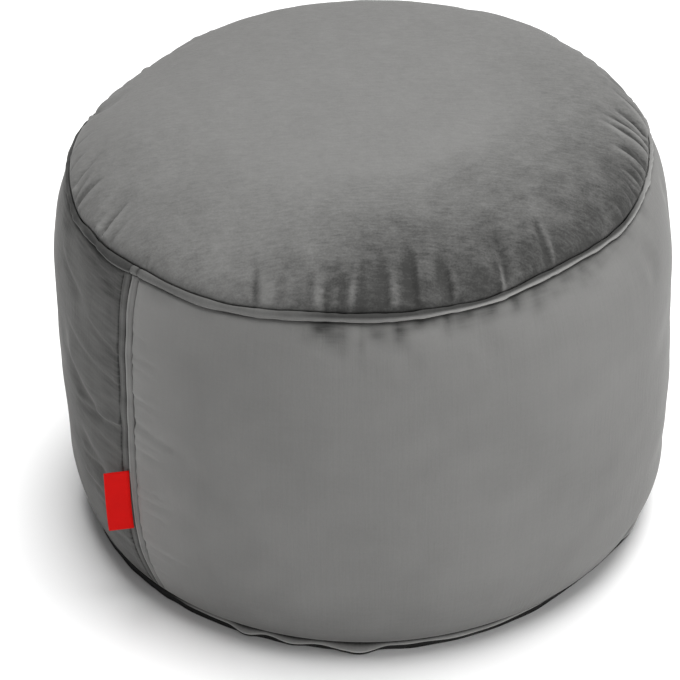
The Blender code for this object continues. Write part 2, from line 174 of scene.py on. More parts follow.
# Darker and lighter streaks painted on the crown from the seam to an inner end: painted shade and
# highlights beside small folds, partly brushed pile.
ShadeStreak = namedtuple("ShadeStreak", "seam_angle inner_angle inner_share half_width change")
CROWN_SHADE_STREAKS = [ShadeStreak(*row) for row in (
    (-20.4, -23.0, 0.88, 0.0034, -0.24), (-16.4, -17.0, 0.91, 0.0044, -0.12),
    (-10.4, -10.8, 0.90, 0.0056, -0.24), (-7.2, -7.5, 0.91, 0.0036, -0.26),
    (-4.4, -4.4, 0.89, 0.0038, -0.28), (-2.6, -2.6, 0.91, 0.0030, 0.10),
    (-0.6, -0.6, 0.84, 0.0056, -0.26), (3.2, 3.4, 0.83, 0.0052, -0.30), (5.9, 5.9, 0.86, 0.0048, 0.16),
    (9.0, 9.6, 0.80, 0.0074, -0.40), (12.4, 12.8, 0.84, 0.0044, 0.10), (15.2, 15.8, 0.84, 0.0064, -0.32),
    (22.0, 22.6, 0.86, 0.0120, -0.14), (26.0, 28.8, 0.82, 0.0046, -0.26),
    (26.9, 28.0, 0.935, 0.0030, 0.42), (30.5, 32.5, 0.84, 0.0060, 0.08),
    (37.4, 41.2, 0.84, 0.0036, -0.26), (38.8, 40.4, 0.93, 0.0024, 0.20),
    (46.0, 50.0, 0.88, 0.0120, -0.10), (63.0, 64.0, 0.90, 0.0080, -0.06),
    (71.3, 71.8, 0.93, 0.0030, -0.22), (80.6, 82.2, 0.89, 0.0080, -0.42),
    (88.8, 91.5, 0.90, 0.0056, -0.20), (97.0, 103.0, 0.90, 0.0090, -0.10),
    (-59.4, -61.0, 0.89, 0.0034, -0.16), (-71.6, -72.4, 0.93, 0.0024, -0.16),
    # These last three paint a lighter strip along the crown's edge, a painted highlight.
    (-17.0, -17.0, 0.93, 0.0150, 0.20), (-8.0, -8.0, 0.935, 0.0170, 0.28),
    (-3.0, -3.0, 0.945, 0.0080, 0.20),
)]

# Where the wall is dented just under the top welt, and its colour painted darker there as shade under the
# welt.
DentAndShade = namedtuple("DentAndShade", "angle half_width reach change")
WALL_DENTS_AND_SHADE = [DentAndShade(*row) for row in (
    (-74, 7.0, 0.016, -0.16), (-60, 4.0, 0.012, -0.12), (-42, 3.6, 0.015, -0.22),
    (-38, 2.0, 0.012, -0.14), (-24, 3.0, 0.005, -0.14), (-8.4, 3.2, 0.018, -0.40),
    (-4.8, 2.8, 0.026, -0.36), (-0.6, 0.9, 0.038, -0.16), (2.4, 2.2, 0.018, -0.40),
    (6.2, 1.8, 0.022, -0.44), (9.8, 2.0, 0.010, -0.40), (12.6, 1.6, 0.008, -0.34),
    (15.0, 1.3, 0.016, -0.46), (18.0, 2.2, 0.014, -0.38), (23.2, 3.0, 0.013, -0.36),
    (28.8, 1.8, 0.014, -0.36), (33.0, 2.2, 0.025, -0.26), (36.8, 2.2, 0.018, -0.18),
    (40.6, 2.6, 0.018, -0.20), (45.0, 3.0, 0.022, -0.24), (49.8, 3.2, 0.013, -0.16),
    (40.0, 16, 0.013, -0.14), (18.0, 11, 0.010, -0.08), (55.5, 3.2, 0.012, -0.14),
    (61.0, 3.0, 0.010, -0.14), (69.5, 2.0, 0.011, -0.18), (102, 5.0, 0.014, -0.24),
    (124, 3.0, 0.016, -0.26), (150, 6.0, 0.012, -0.14), (176, 4.0, 0.016, -0.14),
    (-154, 5.0, 0.012, -0.12), (-118, 4.0, 0.016, -0.14),
)]
# A thin dark line painted along the top of the wall just under the welt, as shade, between these angles.
UNDER_WELT_SHADE_EDGE = 0.0022
UNDER_WELT_SHADE_CHANGE = -0.04
SHADE_LINE_FROM, SHADE_LINE_TO = -16.0, 66.0
SHADE_LINE_FADES_IN, SHADE_LINE_FADES_OUT = 9, 6


METRES = {"subtype": "DISTANCE", "unit": "LENGTH"}


class FootstoolForm(bpy.types.PropertyGroup):
    """Sizes of the sewing and the filling that a user would change."""

    band_width: bpy.props.FloatProperty(
        name="Seam band width", description="Width of the band stitched flat beside an upright seam",
        default=0.008, min=0.004, max=0.014, **METRES)
    groove_depth: bpy.props.FloatProperty(
        name="Groove depth", description="How deep the wall is drawn in under the seam bands",
        default=0.0016, min=0.0, max=0.003, **METRES)
    fold_height: bpy.props.FloatProperty(
        name="Fold height", description="Share of the measured height that the crown's narrow folds have",
        default=1.0, min=0.0, max=2.0, subtype="FACTOR")
    unevenness: bpy.props.FloatProperty(
        name="Unevenness", description="How far the loose filling pushes the cloth in and out",
        default=0.0009, min=0.0, max=0.004, **METRES)
    tab_width: bpy.props.FloatProperty(
        name="Tab width", description="How far the folded tab stands out of its seam",
        default=0.020, min=0.010, max=0.040, **METRES)


class FootstoolFinish(bpy.types.PropertyGroup):
    """Colours of the cloth and the stage."""

    with_nap: bpy.props.FloatVectorProperty(
        name="Velvet, light", description="Colour of the pile where it is brushed towards the light",
        default=(0.168, 0.167, 0.163), size=3, min=0.0, max=1.0, subtype="COLOR")
    against_nap: bpy.props.FloatVectorProperty(
        name="Velvet, dark", description="Colour of the pile where it is brushed away from the light",
        default=(0.034, 0.034, 0.033), size=3, min=0.0, max=1.0, subtype="COLOR")
    sheen: bpy.props.FloatProperty(
        name="Sheen", description="Strength of the soft shine at the edges of the pile",
        default=0.12, min=0.0, max=1.0, subtype="FACTOR")
    tape: bpy.props.FloatVectorProperty(
        name="Tape", description="Colour of the woven tab",
        default=(0.640, 0.004, 0.003), size=3, min=0.0, max=1.0, subtype="COLOR")


# ---------------------------------------------------------------------------------------------- shapes


def around(rows, column, angles):
    """A row's column at each angle, on a smooth closed curve through all the rows."""
    start = rows[0].angle
    places = np.array([row.angle for row in rows], float)
    values = np.array([getattr(row, column) for row in rows])
    places = np.concatenate([places[-1:] - 360, places, places[:2] + 360])
    values = np.concatenate([values[-1:], values, values[:2]])
    turned = (angles - start) % 360 + start
    last = np.searchsorted(places, turned, side="right") - 1
    last = np.clip(last, 1, len(rows))
    a0, a1, a2, a3 = (places[last + step] for step in (-1, 0, 1, 2))
    v0, v1, v2, v3 = (values[last + step] for step in (-1, 0, 1, 2))
    share = (turned - a1) / (a2 - a1)
    slope_in = (v2 - v0) / (a2 - a0) * (a2 - a1)
    slope_out = (v3 - v1) / (a3 - a1) * (a2 - a1)
    return (
        v1 * (2 * share**3 - 3 * share**2 + 1)
        + slope_in * (share**3 - 2 * share**2 + share)
        + v2 * (3 * share**2 - 2 * share**3)
        + slope_out * (share**3 - share**2)
    )


def ease(values):
    """Turns smoothly from 0 to 1."""
    values = np.clip(values, 0.0, 1.0)
    return values * values * (3 - 2 * values)


# A change that sets in from a start, over a distance.
Ramp = namedtuple("Ramp", "change start over")


def ramped(ramp, values):
    return ramp.change * ease((values - ramp.start) / ramp.over)


def bell(distances, half_width):
    """1 at the middle of a form, and 0 past its half width."""
    return np.cos(np.pi / 2 * np.minimum(1.0, np.abs(distances) / half_width)) ** 2


def peak(distances, width):
    """1 at the middle of a line, and next to 0 two widths from it."""
    return np.exp(-((distances / width) ** 2))


def ridged(aside):
    """A ridge beside a trough, each 1 high or deep where it lies 1 to the side of their line."""
    return aside * np.exp((1 - aside**2) / 2)


def degrees_between(angles, other):
    return (angles - other + 180) % 360 - 180


def shoulder_share(heights):
    """How far the wall has drawn in towards the top seam, from 0 to 1."""
    drawn = (heights - FULLEST_HEIGHT) / (SHOULDER_HEIGHT - FULLEST_HEIGHT)
    return np.clip(drawn, 0, 1) ** SHOULDER_POWER


def ankle_share(heights):
    """How far the wall has drawn in towards the foot, from 0 to 1."""
    return np.clip((FULLEST_HEIGHT - heights) / FULLEST_HEIGHT, 0, 1) ** ANKLE_POWER


def wall_radius(heights):
    """The round form's wall."""
    drawn_top = (WALL_RADIUS - SHOULDER_RADIUS) * shoulder_share(heights)
    drawn_foot = (WALL_RADIUS - FOOT_RADIUS) * ankle_share(heights)
    return WALL_RADIUS - drawn_top - drawn_foot


def crown_height(shares):
    """The round form's crown, at a share of the seam's radius. It rolls over steeply into the seam."""
    return SEAM_HEIGHT + (OVERALL_HEIGHT - SEAM_HEIGHT) * (1 - shares**CROWN_POWER) ** CROWN_EDGE_POWER


def along_fold(row, angles, shares):
    """How far places of the crown lie along a pleat, fold or streak, from 0 to 1, and how far aside."""
    along = (shares - row.inner_share) / (1 - row.inner_share)
    line = row.inner_angle + (row.seam_angle - row.inner_angle) * along
    return along, np.radians(degrees_between(angles, line)) * shares * SEAM_RADIUS


def along_crease(row, angles, heights):
    """How far places of the wall lie along a crease, from 0 to 1, and how far aside of it."""
    run = math.radians(row.end_angle - row.start_angle) * WALL_RADIUS
    rise = row.end_height - row.start_height
    length = math.hypot(run, rise)
    across = np.radians(degrees_between(angles, row.start_angle)) * WALL_RADIUS
    up = heights - row.start_height
    return (across * run + up * rise) / length**2, (up * run - across * rise) / length


def metres_aside(angles, line, radius=WALL_RADIUS):
    """How far places lie from an upright line, along the round."""
    return np.abs(np.radians(degrees_between(angles, line))) * radius


def crown_pleating(angles, shares):
    """How deep the broad pleats press the crown down."""
    depth = np.zeros_like(angles)
    for pleat in CROWN_PLEATS:
        along, aside = along_fold(pleat, angles, shares)
        fade = ease(along / PLEAT_DEEPENS_OVER) * ease((1 - along) / PLEAT_RISES_OVER)
        depth += pleat.depth * bell(aside, pleat.width / 2) * fade
    return depth


def wall_creasing(angles, heights):
    """How deep the creases press the wall in."""
    depth = np.zeros_like(angles)
    for crease in WALL_CREASES:
        along, aside = along_crease(crease, angles, heights)
        fade = ease(along / CREASE_FADES_OVER) * ease((1 - along) / CREASE_FADES_OVER)
        depth += crease.depth * bell(aside, crease.width / 2) * fade
    return depth


def polar(points):
    """The radius, angle and height of points."""
    radii = np.hypot(points[:, 0], points[:, 1])
    angles = np.degrees(np.arctan2(points[:, 0], -points[:, 1]))
    return radii, angles, points[:, 2]


def from_polar(radii, angles, heights):
    turns = np.radians(angles)
    return np.stack([radii * np.sin(turns), -radii * np.cos(turns), heights], axis=1)


def settled_seam(points):
    """Where points beside the top seam lie, before the welt wanders."""
    radii, angles, heights = polar(points)
    outwards = around(TOP_SEAM, "radius", angles) - SEAM_RADIUS
    upwards = around(TOP_SEAM, "height", angles) - SEAM_HEIGHT
    return from_polar(radii + outwards, angles, heights + upwards)


def settled(points):
    """Where points of the round form lie on the filled footstool."""
    radii, angles, heights = polar(points)
    on_top = heights > FULLEST_HEIGHT
    shares = np.minimum(1.0, radii / np.where(on_top, CROWN_EDGE, FOOT_EDGE))
    shoulder = shoulder_share(heights)
    ankle = ankle_share(heights)
    seam_out = around(TOP_SEAM, "radius", angles) - SEAM_RADIUS
    seam_up = around(TOP_SEAM, "height", angles) - SEAM_HEIGHT
    wall_out = around(WALL_ROUND, "fullest", angles) - WALL_RADIUS
    foot_out = around(WALL_ROUND, "foot", angles) - FOOT_RADIUS
    outwards = shares * (seam_out * shoulder + foot_out * ankle + wall_out * (1 - shoulder - ankle))
    upwards = seam_up * shares**SEAM_RISE_POWER * np.minimum(1.0, heights / SEAM_HEIGHT)
    upwards -= np.where((shares < 1) & on_top, crown_pleating(angles, shares), 0)
    below_seam = SHOULDER_HEIGHT - heights
    creased = wall_creasing(angles, heights) * ease(below_seam / SMOOTH_UNDER_SEAM)
    outwards -= np.where(shares == 1, creased, 0)
    drop = around(WELT_LINE, "drop", angles)
    narrowed = 1 - around(WELT_LINE, "width_share", angles)
    at_rim = np.where(on_top & (heights > SEAM_HEIGHT - RIM_DEPTH), shares**RIM_POWER, 0)
    at_shoulder = np.where(at_rim > 0, 0, shoulder)
    upwards -= at_rim * (drop + narrowed * WELT_HALF_HEIGHT)
    upwards -= at_shoulder * (drop - narrowed * WELT_HALF_HEIGHT)
    outwards += (at_rim - at_shoulder) * narrowed * WELT_HALF_DEPTH
    return from_polar(radii + outwards, angles, heights + upwards)


def every(section, spacing):
    """Points along a fine section of (radius, height), about one spacing apart."""
    steps = np.hypot(*np.diff(section, axis=0).T)
    run = np.concatenate([[0], np.cumsum(steps)])
    count = max(1, round(run[-1] / spacing))
    places = np.linspace(0, run[-1], count + 1)
    return np.stack([np.interp(places, run, section[:, 0]), np.interp(places, run, section[:, 1])], axis=1)


# Points closer than this are one point.
SAME_PLACE = 1e-6


def turned(section, columns, closed=False):
    """A section of radius and height points, spun into a full round from the front."""
    shape = bmesh.new()
    verts = [shape.verts.new((0, -radius, height)) for radius, height in section]
    edges = [shape.edges.new(pair) for pair in zip(verts, verts[1:])]
    if closed:
        edges.append(shape.edges.new((verts[-1], verts[0])))
    bmesh.ops.spin(shape, geom=verts + edges, cent=(0, 0, 0), axis=(0, 0, 1), angle=math.tau,
                   steps=columns, use_merge=True)
    poles = [vert for vert in shape.verts if math.hypot(*vert.co.xy) < SAME_PLACE]
    bmesh.ops.remove_doubles(shape, verts=poles, dist=SAME_PLACE)
    return shape


def split_columns(shape, inner_radius, floor_height):
    """Splits each face outside a radius in two, so that the columns there are half as wide."""
    split = []
    for edge in shape.edges:
        one, other = edge.verts
        radii = (math.hypot(*one.co.xy), math.hypot(*other.co.xy))
        level = abs(radii[0] - radii[1]) < SAME_PLACE and abs(one.co.z - other.co.z) < SAME_PLACE
        if level and min(radii) > inner_radius and one.co.z > floor_height:
            split.append(edge)
    bmesh.ops.subdivide_edges(shape, edges=split, cuts=1)


def read(mesh, what):
    values = np.empty(len(mesh.vertices) * 3, np.float32)
    mesh.vertices.foreach_get(what, values)
    return values.reshape(-1, 3).astype(float)


def write(mesh, points):
    mesh.vertices.foreach_set("co", points.astype(np.float32).ravel())
    mesh.update()


def drawn_to_seams(angles, closeness=6.0, reach=5.0):
    """Moves evenly spaced columns so that they lie closer together beside the upright seams."""
    fine = np.linspace(-180, 180, 3601)
    density = 1 + closeness * sum(bell(degrees_between(fine, seam), reach) for seam in SEAM_ANGLES)
    run = np.concatenate([[0], np.cumsum((density[1:] + density[:-1]) / 2)])
    return np.interp((angles + 180) / 360 * run[-1], run, fine)


def added(name, shape, material):
    """Adds a shape to the scene as an object."""
    mesh = bpy.data.meshes.new(name)
    shape.to_mesh(mesh)
    shape.free()
    mesh.materials.append(material)
    made = bpy.data.objects.new(name, mesh)
    bpy.context.scene.collection.objects.link(made)
    return made


def finished(name, shape, material, nodes, shaped):
    """Makes a shape a piece that stands for some CAD nodes. shaped() moves its points to their places."""
    bmesh.ops.recalc_face_normals(shape, faces=shape.faces)
    piece = added(name, shape, material)
    piece.data.shade_smooth()
    shaped(piece.data)
    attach(piece, "root")
    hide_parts(*nodes)
    return piece


def paint(mesh, name, values):
    """Gives each point of a mesh a value that its material reads."""
    attribute = mesh.attributes.new(name, "FLOAT", "POINT")
    attribute.data.foreach_set("value", np.asarray(values, np.float32))


WAVES = 14


def lumps(points, size, seed):
    """Smooth unevenness of a given size, between about -1 and 1: a sum of waves in scattered directions."""
    scatter = np.random.default_rng(seed)
    directions = scatter.normal(size=(WAVES, 3))
    directions /= np.linalg.norm(directions, axis=1)[:, None]
    lengths = size * scatter.uniform(0.8, 1.9, WAVES)
    phases = scatter.uniform(0, math.tau, WAVES)
    waves = np.sin(points @ (directions * math.tau / (2 * lengths[:, None])).T + phases)
    return waves.sum(axis=1) / math.sqrt(WAVES)


# ----------------------------------------------------------------------------------------------- crown


def fold_relief(angles, shares):
    """How far the narrow folds stand out of the crown."""
    relief = np.zeros_like(angles)
    for fold in all_crown_folds():
        along, aside = along_fold(fold, angles, shares)
        fade = ease(along / FOLD_FADES_OVER) * ease((1.004 - along) / 0.05)
        relief += fold.height * ridged(aside / fold.half_width) * fade
    return relief


# Rows of faces lie closer together over the last stretch before the seam, where the folds are.
CROWN_SPACING, CROWN_EDGE_SPACING, CROWN_EDGE_REACH = 0.0028, 0.00135, 0.062


def crown_section():
    """The crown's skin from its top to the seam, then a hidden floor back to the middle."""
    shares = 1 - np.linspace(1, 0, 2001) ** 2
    skin = np.stack([CROWN_EDGE * shares, crown_height(shares)], axis=1)
    steps = np.hypot(*np.diff(skin, axis=0).T)
    run = np.concatenate([[0], np.cumsum(steps)])
    bend = np.searchsorted(run, run[-1] - CROWN_EDGE_REACH)
    inner = every(skin[: bend + 1], CROWN_SPACING)
    outer = every(skin[bend:], CROWN_EDGE_SPACING)
    hidden = [(CROWN_EDGE - 0.0012, SEAM_HEIGHT - 0.0030), (CROWN_EDGE - 0.004, SEAM_HEIGHT - 0.0050),
              (CROWN_EDGE - 0.030, SEAM_HEIGHT - 0.0080), (0.0, SEAM_HEIGHT - 0.0080)]
    return [*inner, *outer[1:], *hidden], skin[bend, 0]


BACK_FOLDS = 30
BACK_FOLDS_FROM, BACK_FOLDS_OVER = 121.0, 142.0
GOLDEN_SHARE = 0.618034


def all_crown_folds():
    """The folds that show at the front, and like ones scattered round the back."""
    folds = list(CROWN_FOLDS)
    for index in range(BACK_FOLDS):
        angle = BACK_FOLDS_FROM + BACK_FOLDS_OVER * (index * GOLDEN_SHARE % 1)
        lean = 3.0 * math.sin(1.9 * index)
        reach = 0.935 + 0.02 * math.sin(2.7 * index)
        height = 0.0009 + 0.0005 * math.sin(4.1 * index)
        folds.append(CrownFold(angle, angle + lean, reach, 0.0025 + 0.0004 * math.sin(index), height))
    return folds


# The filling lies fuller under the back right of the crown.
BACK_SWELL = 0.0040
BACK_SWELL_ANGLE, BACK_SWELL_HALF_WIDTH = 137.0, 88.0
BACK_SWELL_RISES = Ramp(1, 0.45, 0.35)


def shape_crown(mesh, form):
    radii, angles, heights = polar(read(mesh, "co"))
    shares = np.minimum(1.0, radii / CROWN_EDGE)
    skin = heights > CROWN_SKIN_FLOOR
    exact = np.where(skin, crown_height(shares), heights)
    write(mesh, settled(from_polar(radii, angles, exact)))
    points, normals = read(mesh, "co"), read(mesh, "normal")
    folds = fold_relief(angles, shares) * form.fold_height
    relief = folds + form.unevenness * lumps(points, size=0.055, seed=31) * ease((1 - shares) / 0.10)
    relief += 0.35 * form.unevenness * lumps(points, size=0.018, seed=82) * ease((1 - shares) / 0.06)
    swollen = bell(degrees_between(angles, BACK_SWELL_ANGLE), BACK_SWELL_HALF_WIDTH)
    relief += BACK_SWELL * swollen * ease((1 - shares) / 0.12) * ramped(BACK_SWELL_RISES, shares)
    write(mesh, points + normals * (relief * skin)[:, None])
    paint(mesh, "nap_and_shade", crown_nap_and_shade(points, angles, shares, folds))


# How much darker the crown turns at the seam: partly its pile leaning, partly painted shade on the front
# and right of the rolled edge. It turns darker and more mottled from the middle out to there.
LeanAndShade = namedtuple("LeanAndShade", "angle darkens")
CROWN_LEAN_AND_SHADE = [LeanAndShade(*row) for row in (
    (-150, 0.02), (-95, 0.03), (-75, 0.16), (-50, 0.24), (-28, 0.31), (-12, 0.50), (2, 0.82), (22, 0.78),
    (40, 0.90), (58, 0.78), (78, 0.60), (96, 0.36), (118, 0.18), (150, 0.04),
)]
LEAN_AND_SHADE_STARTS = 0.43
LEAN_AND_SHADE_RISE_POWER = 0.92
CROWN_LIGHTEST = 0.90
# Painted shade and highlights: the last stretch before the seam is painted darker, and each fold is painted
# darker in its trough and lighter on its ridge, most of all round the deep folds at the right.
CROWN_EDGE_DARKENS = Ramp(0.14, 0.90, 0.08)
FOLD_SHADES = 0.16
DEEP_FOLDS_ANGLE, DEEP_FOLDS_HALF_WIDTH, DEEP_FOLDS_SHADE = 90.0, 19.0, 2.2
NAP_SOFT_FLOOR = 0.09


def softly_above_zero(nap_and_shade):
    return NAP_SOFT_FLOOR * np.log1p(np.exp(nap_and_shade / NAP_SOFT_FLOOR))


def crown_nap_and_shade(points, angles, shares, folds):
    """How light the crown is painted, from 0, dark, to 1, light: the pile's brushing, with painted shade
    and highlights.
    """
    outwards = np.clip((shares - LEAN_AND_SHADE_STARTS) / (1 - LEAN_AND_SHADE_STARTS), 0, 1)
    shade = around(CROWN_LEAN_AND_SHADE, "darkens", angles) * outwards**LEAN_AND_SHADE_RISE_POWER
    mottled = 1 + 0.10 * lumps(points, size=0.036, seed=164)
    mottled += 0.12 * lumps(points, size=0.012, seed=34)
    shade *= mottled + ramped(CROWN_EDGE_DARKENS, shares)
    deep = peak(degrees_between(angles, DEEP_FOLDS_ANGLE), DEEP_FOLDS_HALF_WIDTH)
    fold_shades = FOLD_SHADES * (1 + DEEP_FOLDS_SHADE * deep)
    nap_and_shade = CROWN_LIGHTEST - shade + fold_shades * np.clip(folds / 0.001, -1.5, 1)
    for streak in CROWN_SHADE_STREAKS:
        along, aside = along_fold(streak, angles, shares)
        nap_and_shade += streak.change * bell(aside, streak.half_width) * ease(along / 0.5)
    return softly_above_zero(nap_and_shade)


# ------------------------------------------------------------------------------------------------ wall


def wall_section():
    """A hidden floor under the crown, the wall from shoulder to ankle, and the flat base."""
    top = SHOULDER_HEIGHT
    shoulder, ankle = top - 0.030, 0.045
    rows = [np.linspace(top - 0.0026, shoulder, 200), np.linspace(shoulder, ankle, 400),
            np.linspace(ankle, ANKLE_HEIGHT, 100)]
    parts = []
    for heights, spacing in zip(rows, (0.0017, 0.0031, 0.0022)):
        parts.extend(every(np.stack([wall_radius(heights), heights], axis=1), spacing)[bool(parts):])
    lid = [(0.0, top - 0.007), (SEAM_RADIUS - 0.030, top - 0.007), (SEAM_RADIUS - 0.004, top - 0.003),
           (SEAM_RADIUS + 0.0012, top - 0.0012), (SEAM_RADIUS + 0.0030, top - 0.0011),
           (SEAM_RADIUS + 0.0041, top - 0.0014), (SEAM_RADIUS + 0.0048, top - 0.0019)]
    foot = [(0.2263, 0.0098), (0.2238, 0.0060), (0.2217, 0.0022), (FOOT_EDGE, 0.0), (0.12, 0.0), (0.0, 0.0)]
    return [*lid, *parts, *foot]


UNDER_WELT_DENT_DEPTH = 0.0009
UNDER_WELT_STRENGTH, UNDER_WELT_REACH = 1.45, 1.2

# Thin creases of the wall, each a ridge above a trough where the height is positive.
WallFold = namedtuple("WallFold", "start_angle start_height end_angle end_height half_width height")
WALL_FOLDS = [WallFold(*row) for row in (
    (-68, 0.1575, -58, 0.1640, 0.0030, 0.0012), (-60, 0.1640, -48.6, 0.1735, 0.0030, 0.0018),
    (-57, 0.1900, -48.6, 0.1935, 0.0024, 0.0008), (-67, 0.0860, -56, 0.0900, 0.0026, 0.0010),
    (-67, 0.1080, -55, 0.1120, 0.0028, 0.0012), (-62, 0.0760, -56, 0.0780, 0.0022, 0.0006),
    (-56, 0.1280, -48.6, 0.1330, 0.0024, 0.0008), (-57, 0.1470, -48.6, 0.1500, 0.0024, 0.0007),
    (-62, 0.2560, -49.5, 0.2430, 0.0032, 0.0008), (-72, 0.2250, -49.5, 0.2130, 0.0034, 0.0008),
    (-74, 0.2820, -60, 0.2640, 0.0040, 0.0008), (-60, 0.0520, -49.5, 0.0560, 0.0026, 0.0008),
    (-46.2, 0.1150, -36, 0.1190, 0.0026, 0.0007), (-46.2, 0.1020, -37, 0.1030, 0.0024, 0.0005),
    (-46.2, 0.1280, -38, 0.1260, 0.0024, 0.0004), (-46.2, 0.1620, -36, 0.1640, 0.0024, 0.0005),
    (-46.2, 0.1810, -34, 0.1750, 0.0028, -0.0008), (-46.2, 0.2140, -37, 0.2120, 0.0026, 0.0004),
    (-46.2, 0.0700, -32, 0.0660, 0.0028, 0.0006), (-46.2, 0.2500, -38, 0.2530, 0.0028, 0.0004),
)]
BACK_PUCKERS = 13
FRONT_PUCKERS = 19
SHARP_BY_SEAM = 6.0


def all_wall_folds():
    """The creases that show at the front, and like ones on both sides of the back seam."""
    folds = list(WALL_FOLDS)
    for index in range(FRONT_PUCKERS):
        height = 0.044 + 0.0132 * index + 0.003 * math.sin(2.3 * index)
        start = FRONT_SEAM_ANGLE + 1.4
        end = start + 6.0 + 2.6 * math.sin(1.7 * index)
        raised = 0.0004 + 0.0003 * math.sin(3.1 * index)
        folds.append(WallFold(start, height, end, height - 0.003, 0.0022, raised))
    for index in range(BACK_PUCKERS):
        height = 0.045 + 0.019 * index + 0.005 * math.sin(2.1 * index)
        side = 1 if index % 2 else -1
        reach = side * (6 + 3 * math.sin(1.3 * index))
        start = BACK_SEAM_ANGLE + side * 2.2
        folds.append(WallFold(start, height, start + reach, height - 0.004, 0.0026, 0.0008))
    return folds


def pucker_relief(angles, heights):
    """How far the thin creases stand out of the wall. Beside an upright seam they end sharply."""
    relief = np.zeros_like(angles)
    by_seam = np.min([np.abs(degrees_between(angles, seam)) for seam in SEAM_ANGLES], axis=0)
    for fold in all_wall_folds():
        along, aside = along_crease(fold, angles, heights)
        aside = aside * math.copysign(1, fold.end_angle - fold.start_angle) / fold.half_width
        fade = ease(along / CREASE_FADES_OVER) * ease((1 - along) / CREASE_FADES_OVER)
        cut_off = ease((along + 0.02) / 0.05) * ease((1.02 - along) / 0.05)
        fade = np.where(by_seam < SHARP_BY_SEAM, cut_off, fade)
        relief += fold.height * ridged(aside) * fade
    return relief


# How far the front upright seam wanders from a straight line, in degrees round the wall.
SeamDrift = namedtuple("SeamDrift", "height angle")
SEAM_DRIFTS = [SeamDrift(*row) for row in (
    (0.010, 1.7), (0.030, 1.2), (0.055, 0.5), (0.080, 0.1), (0.110, -0.1), (0.150, -0.2), (0.200, 0.0),
    (0.280, 0.3), (0.315, 0.3),
)]
DRIFT_HALF_WIDTH = 16


def drifted(angles, heights):
    """The angles of places near the front seam, moved along with it."""
    drift = np.interp(heights, [row.height for row in SEAM_DRIFTS], [row.angle for row in SEAM_DRIFTS])
    return angles + drift * bell(degrees_between(angles, FRONT_SEAM_ANGLE), DRIFT_HALF_WIDTH)


# The wall is drawn in a little past a band's edge, and rolls up beside it.
CHANNEL_MARGIN = 0.0005
ROLL_ASIDE, ROLL_WIDTH, ROLL_SHARE = 0.0045, 0.0030, 0.25


def seam_channel(angles, form):
    """How far the wall is drawn in under the bands of the upright seams."""
    half_width = form.band_width + CHANNEL_MARGIN
    depth = np.zeros_like(angles)
    for seam in SEAM_ANGLES:
        aside = metres_aside(angles, seam)
        inside = ease((half_width + 0.0012 - aside) / 0.0018)
        roll = peak(aside - half_width - ROLL_ASIDE, ROLL_WIDTH)
        depth += form.groove_depth * inside - ROLL_SHARE * form.groove_depth * roll
    return depth


# Where the filling pushes the wall out, or where it is loose and the wall falls in.
WallSwell = namedtuple("WallSwell", "angle half_width height half_height depth")
WALL_SWELLS = (
    WallSwell(84, 42, 0.205, 0.090, -0.0026), WallSwell(80, 46, 0.046, 0.034, 0.0034),
    WallSwell(-82, 32, 0.095, 0.050, -0.0024),
)


def shape_wall(mesh, form):
    radii, angles, heights = polar(read(mesh, "co"))
    angles = drawn_to_seams(angles)
    skin = (heights > ANKLE_HEIGHT - 0.0015) & (radii > SHOULDER_RADIUS + 0.0004)
    write(mesh, settled(from_polar(radii, drifted(angles, heights), heights)))
    points, normals = read(mesh, "co"), read(mesh, "normal")
    top_fade = ease((SHOULDER_HEIGHT - heights) / 0.020)
    foot_fade = ease((heights - ANKLE_HEIGHT) / 0.030)
    relief = form.unevenness * lumps(points, size=0.060, seed=57) * top_fade * foot_fade
    relief += 0.30 * form.unevenness * lumps(points, size=0.020, seed=19) * top_fade * foot_fade
    relief += UNDER_WELT_DENT_DEPTH * dented_and_shaded(angles, heights) + pucker_relief(angles, heights)
    relief -= seam_channel(angles, form)
    for swell in WALL_SWELLS:
        beside = bell(degrees_between(angles, swell.angle), swell.half_width)
        relief += swell.depth * beside * bell(heights - swell.height, swell.half_height)
    write(mesh, points + normals * (relief * skin)[:, None])
    paint(mesh, "nap_and_shade", wall_nap_and_shade(points, angles, heights, form))


def dented_and_shaded(angles, heights):
    """How far the wall is dented and painted darker, as shade, just under the top welt, at most 0."""
    below = SHOULDER_HEIGHT - heights
    change = np.zeros_like(angles)
    for under_welt in WALL_DENTS_AND_SHADE:
        aside = degrees_between(angles, under_welt.angle) / under_welt.half_width
        fade = ease(1 - below / (UNDER_WELT_REACH * under_welt.reach))
        change += UNDER_WELT_STRENGTH * under_welt.change * np.exp(-1.5 * aside**2) * fade
    return change


WALL_LIGHT = 0.86
PANEL_DARK = 0.27
# Painted light and shade: the dark panel is painted darker under the top welt and lighter towards its left
# edge, a painted sheen; the light panel is painted lighter beside the front seam, darker towards the right
# and low at the front, and the foot's edge carries a painted highlight.
PANEL_LIGHTER, PANEL_LIGHTER_OVER = 0.14, 0.045
PANEL_EDGE_LIGHTER, PANEL_EDGE_OVER = 0.12, 26
SEAM_LIGHTER, SEAM_LIGHTER_OVER = 0.16, 11
SEAM_SIDE_LIGHTER, SEAM_SIDE_TO, SEAM_SIDE_OVER = 0.26, 17.5, 15
RIGHT_DARKENS = Ramp(-0.07, 98, 20)
FRONT_FOOT_DARKER, FRONT_FOOT_TO, FRONT_FOOT_OVER = 0.12, 0.085, 0.060
FRONT_FOOT_ANGLE, FRONT_FOOT_HALF_WIDTH = -2, 62
RIM_LIGHTER, RIM_WIDTH = 0.12, 0.0018
BAND_SHADE_DEPTH = 0.42
BAND_SHADE_WIDTH = 0.0012


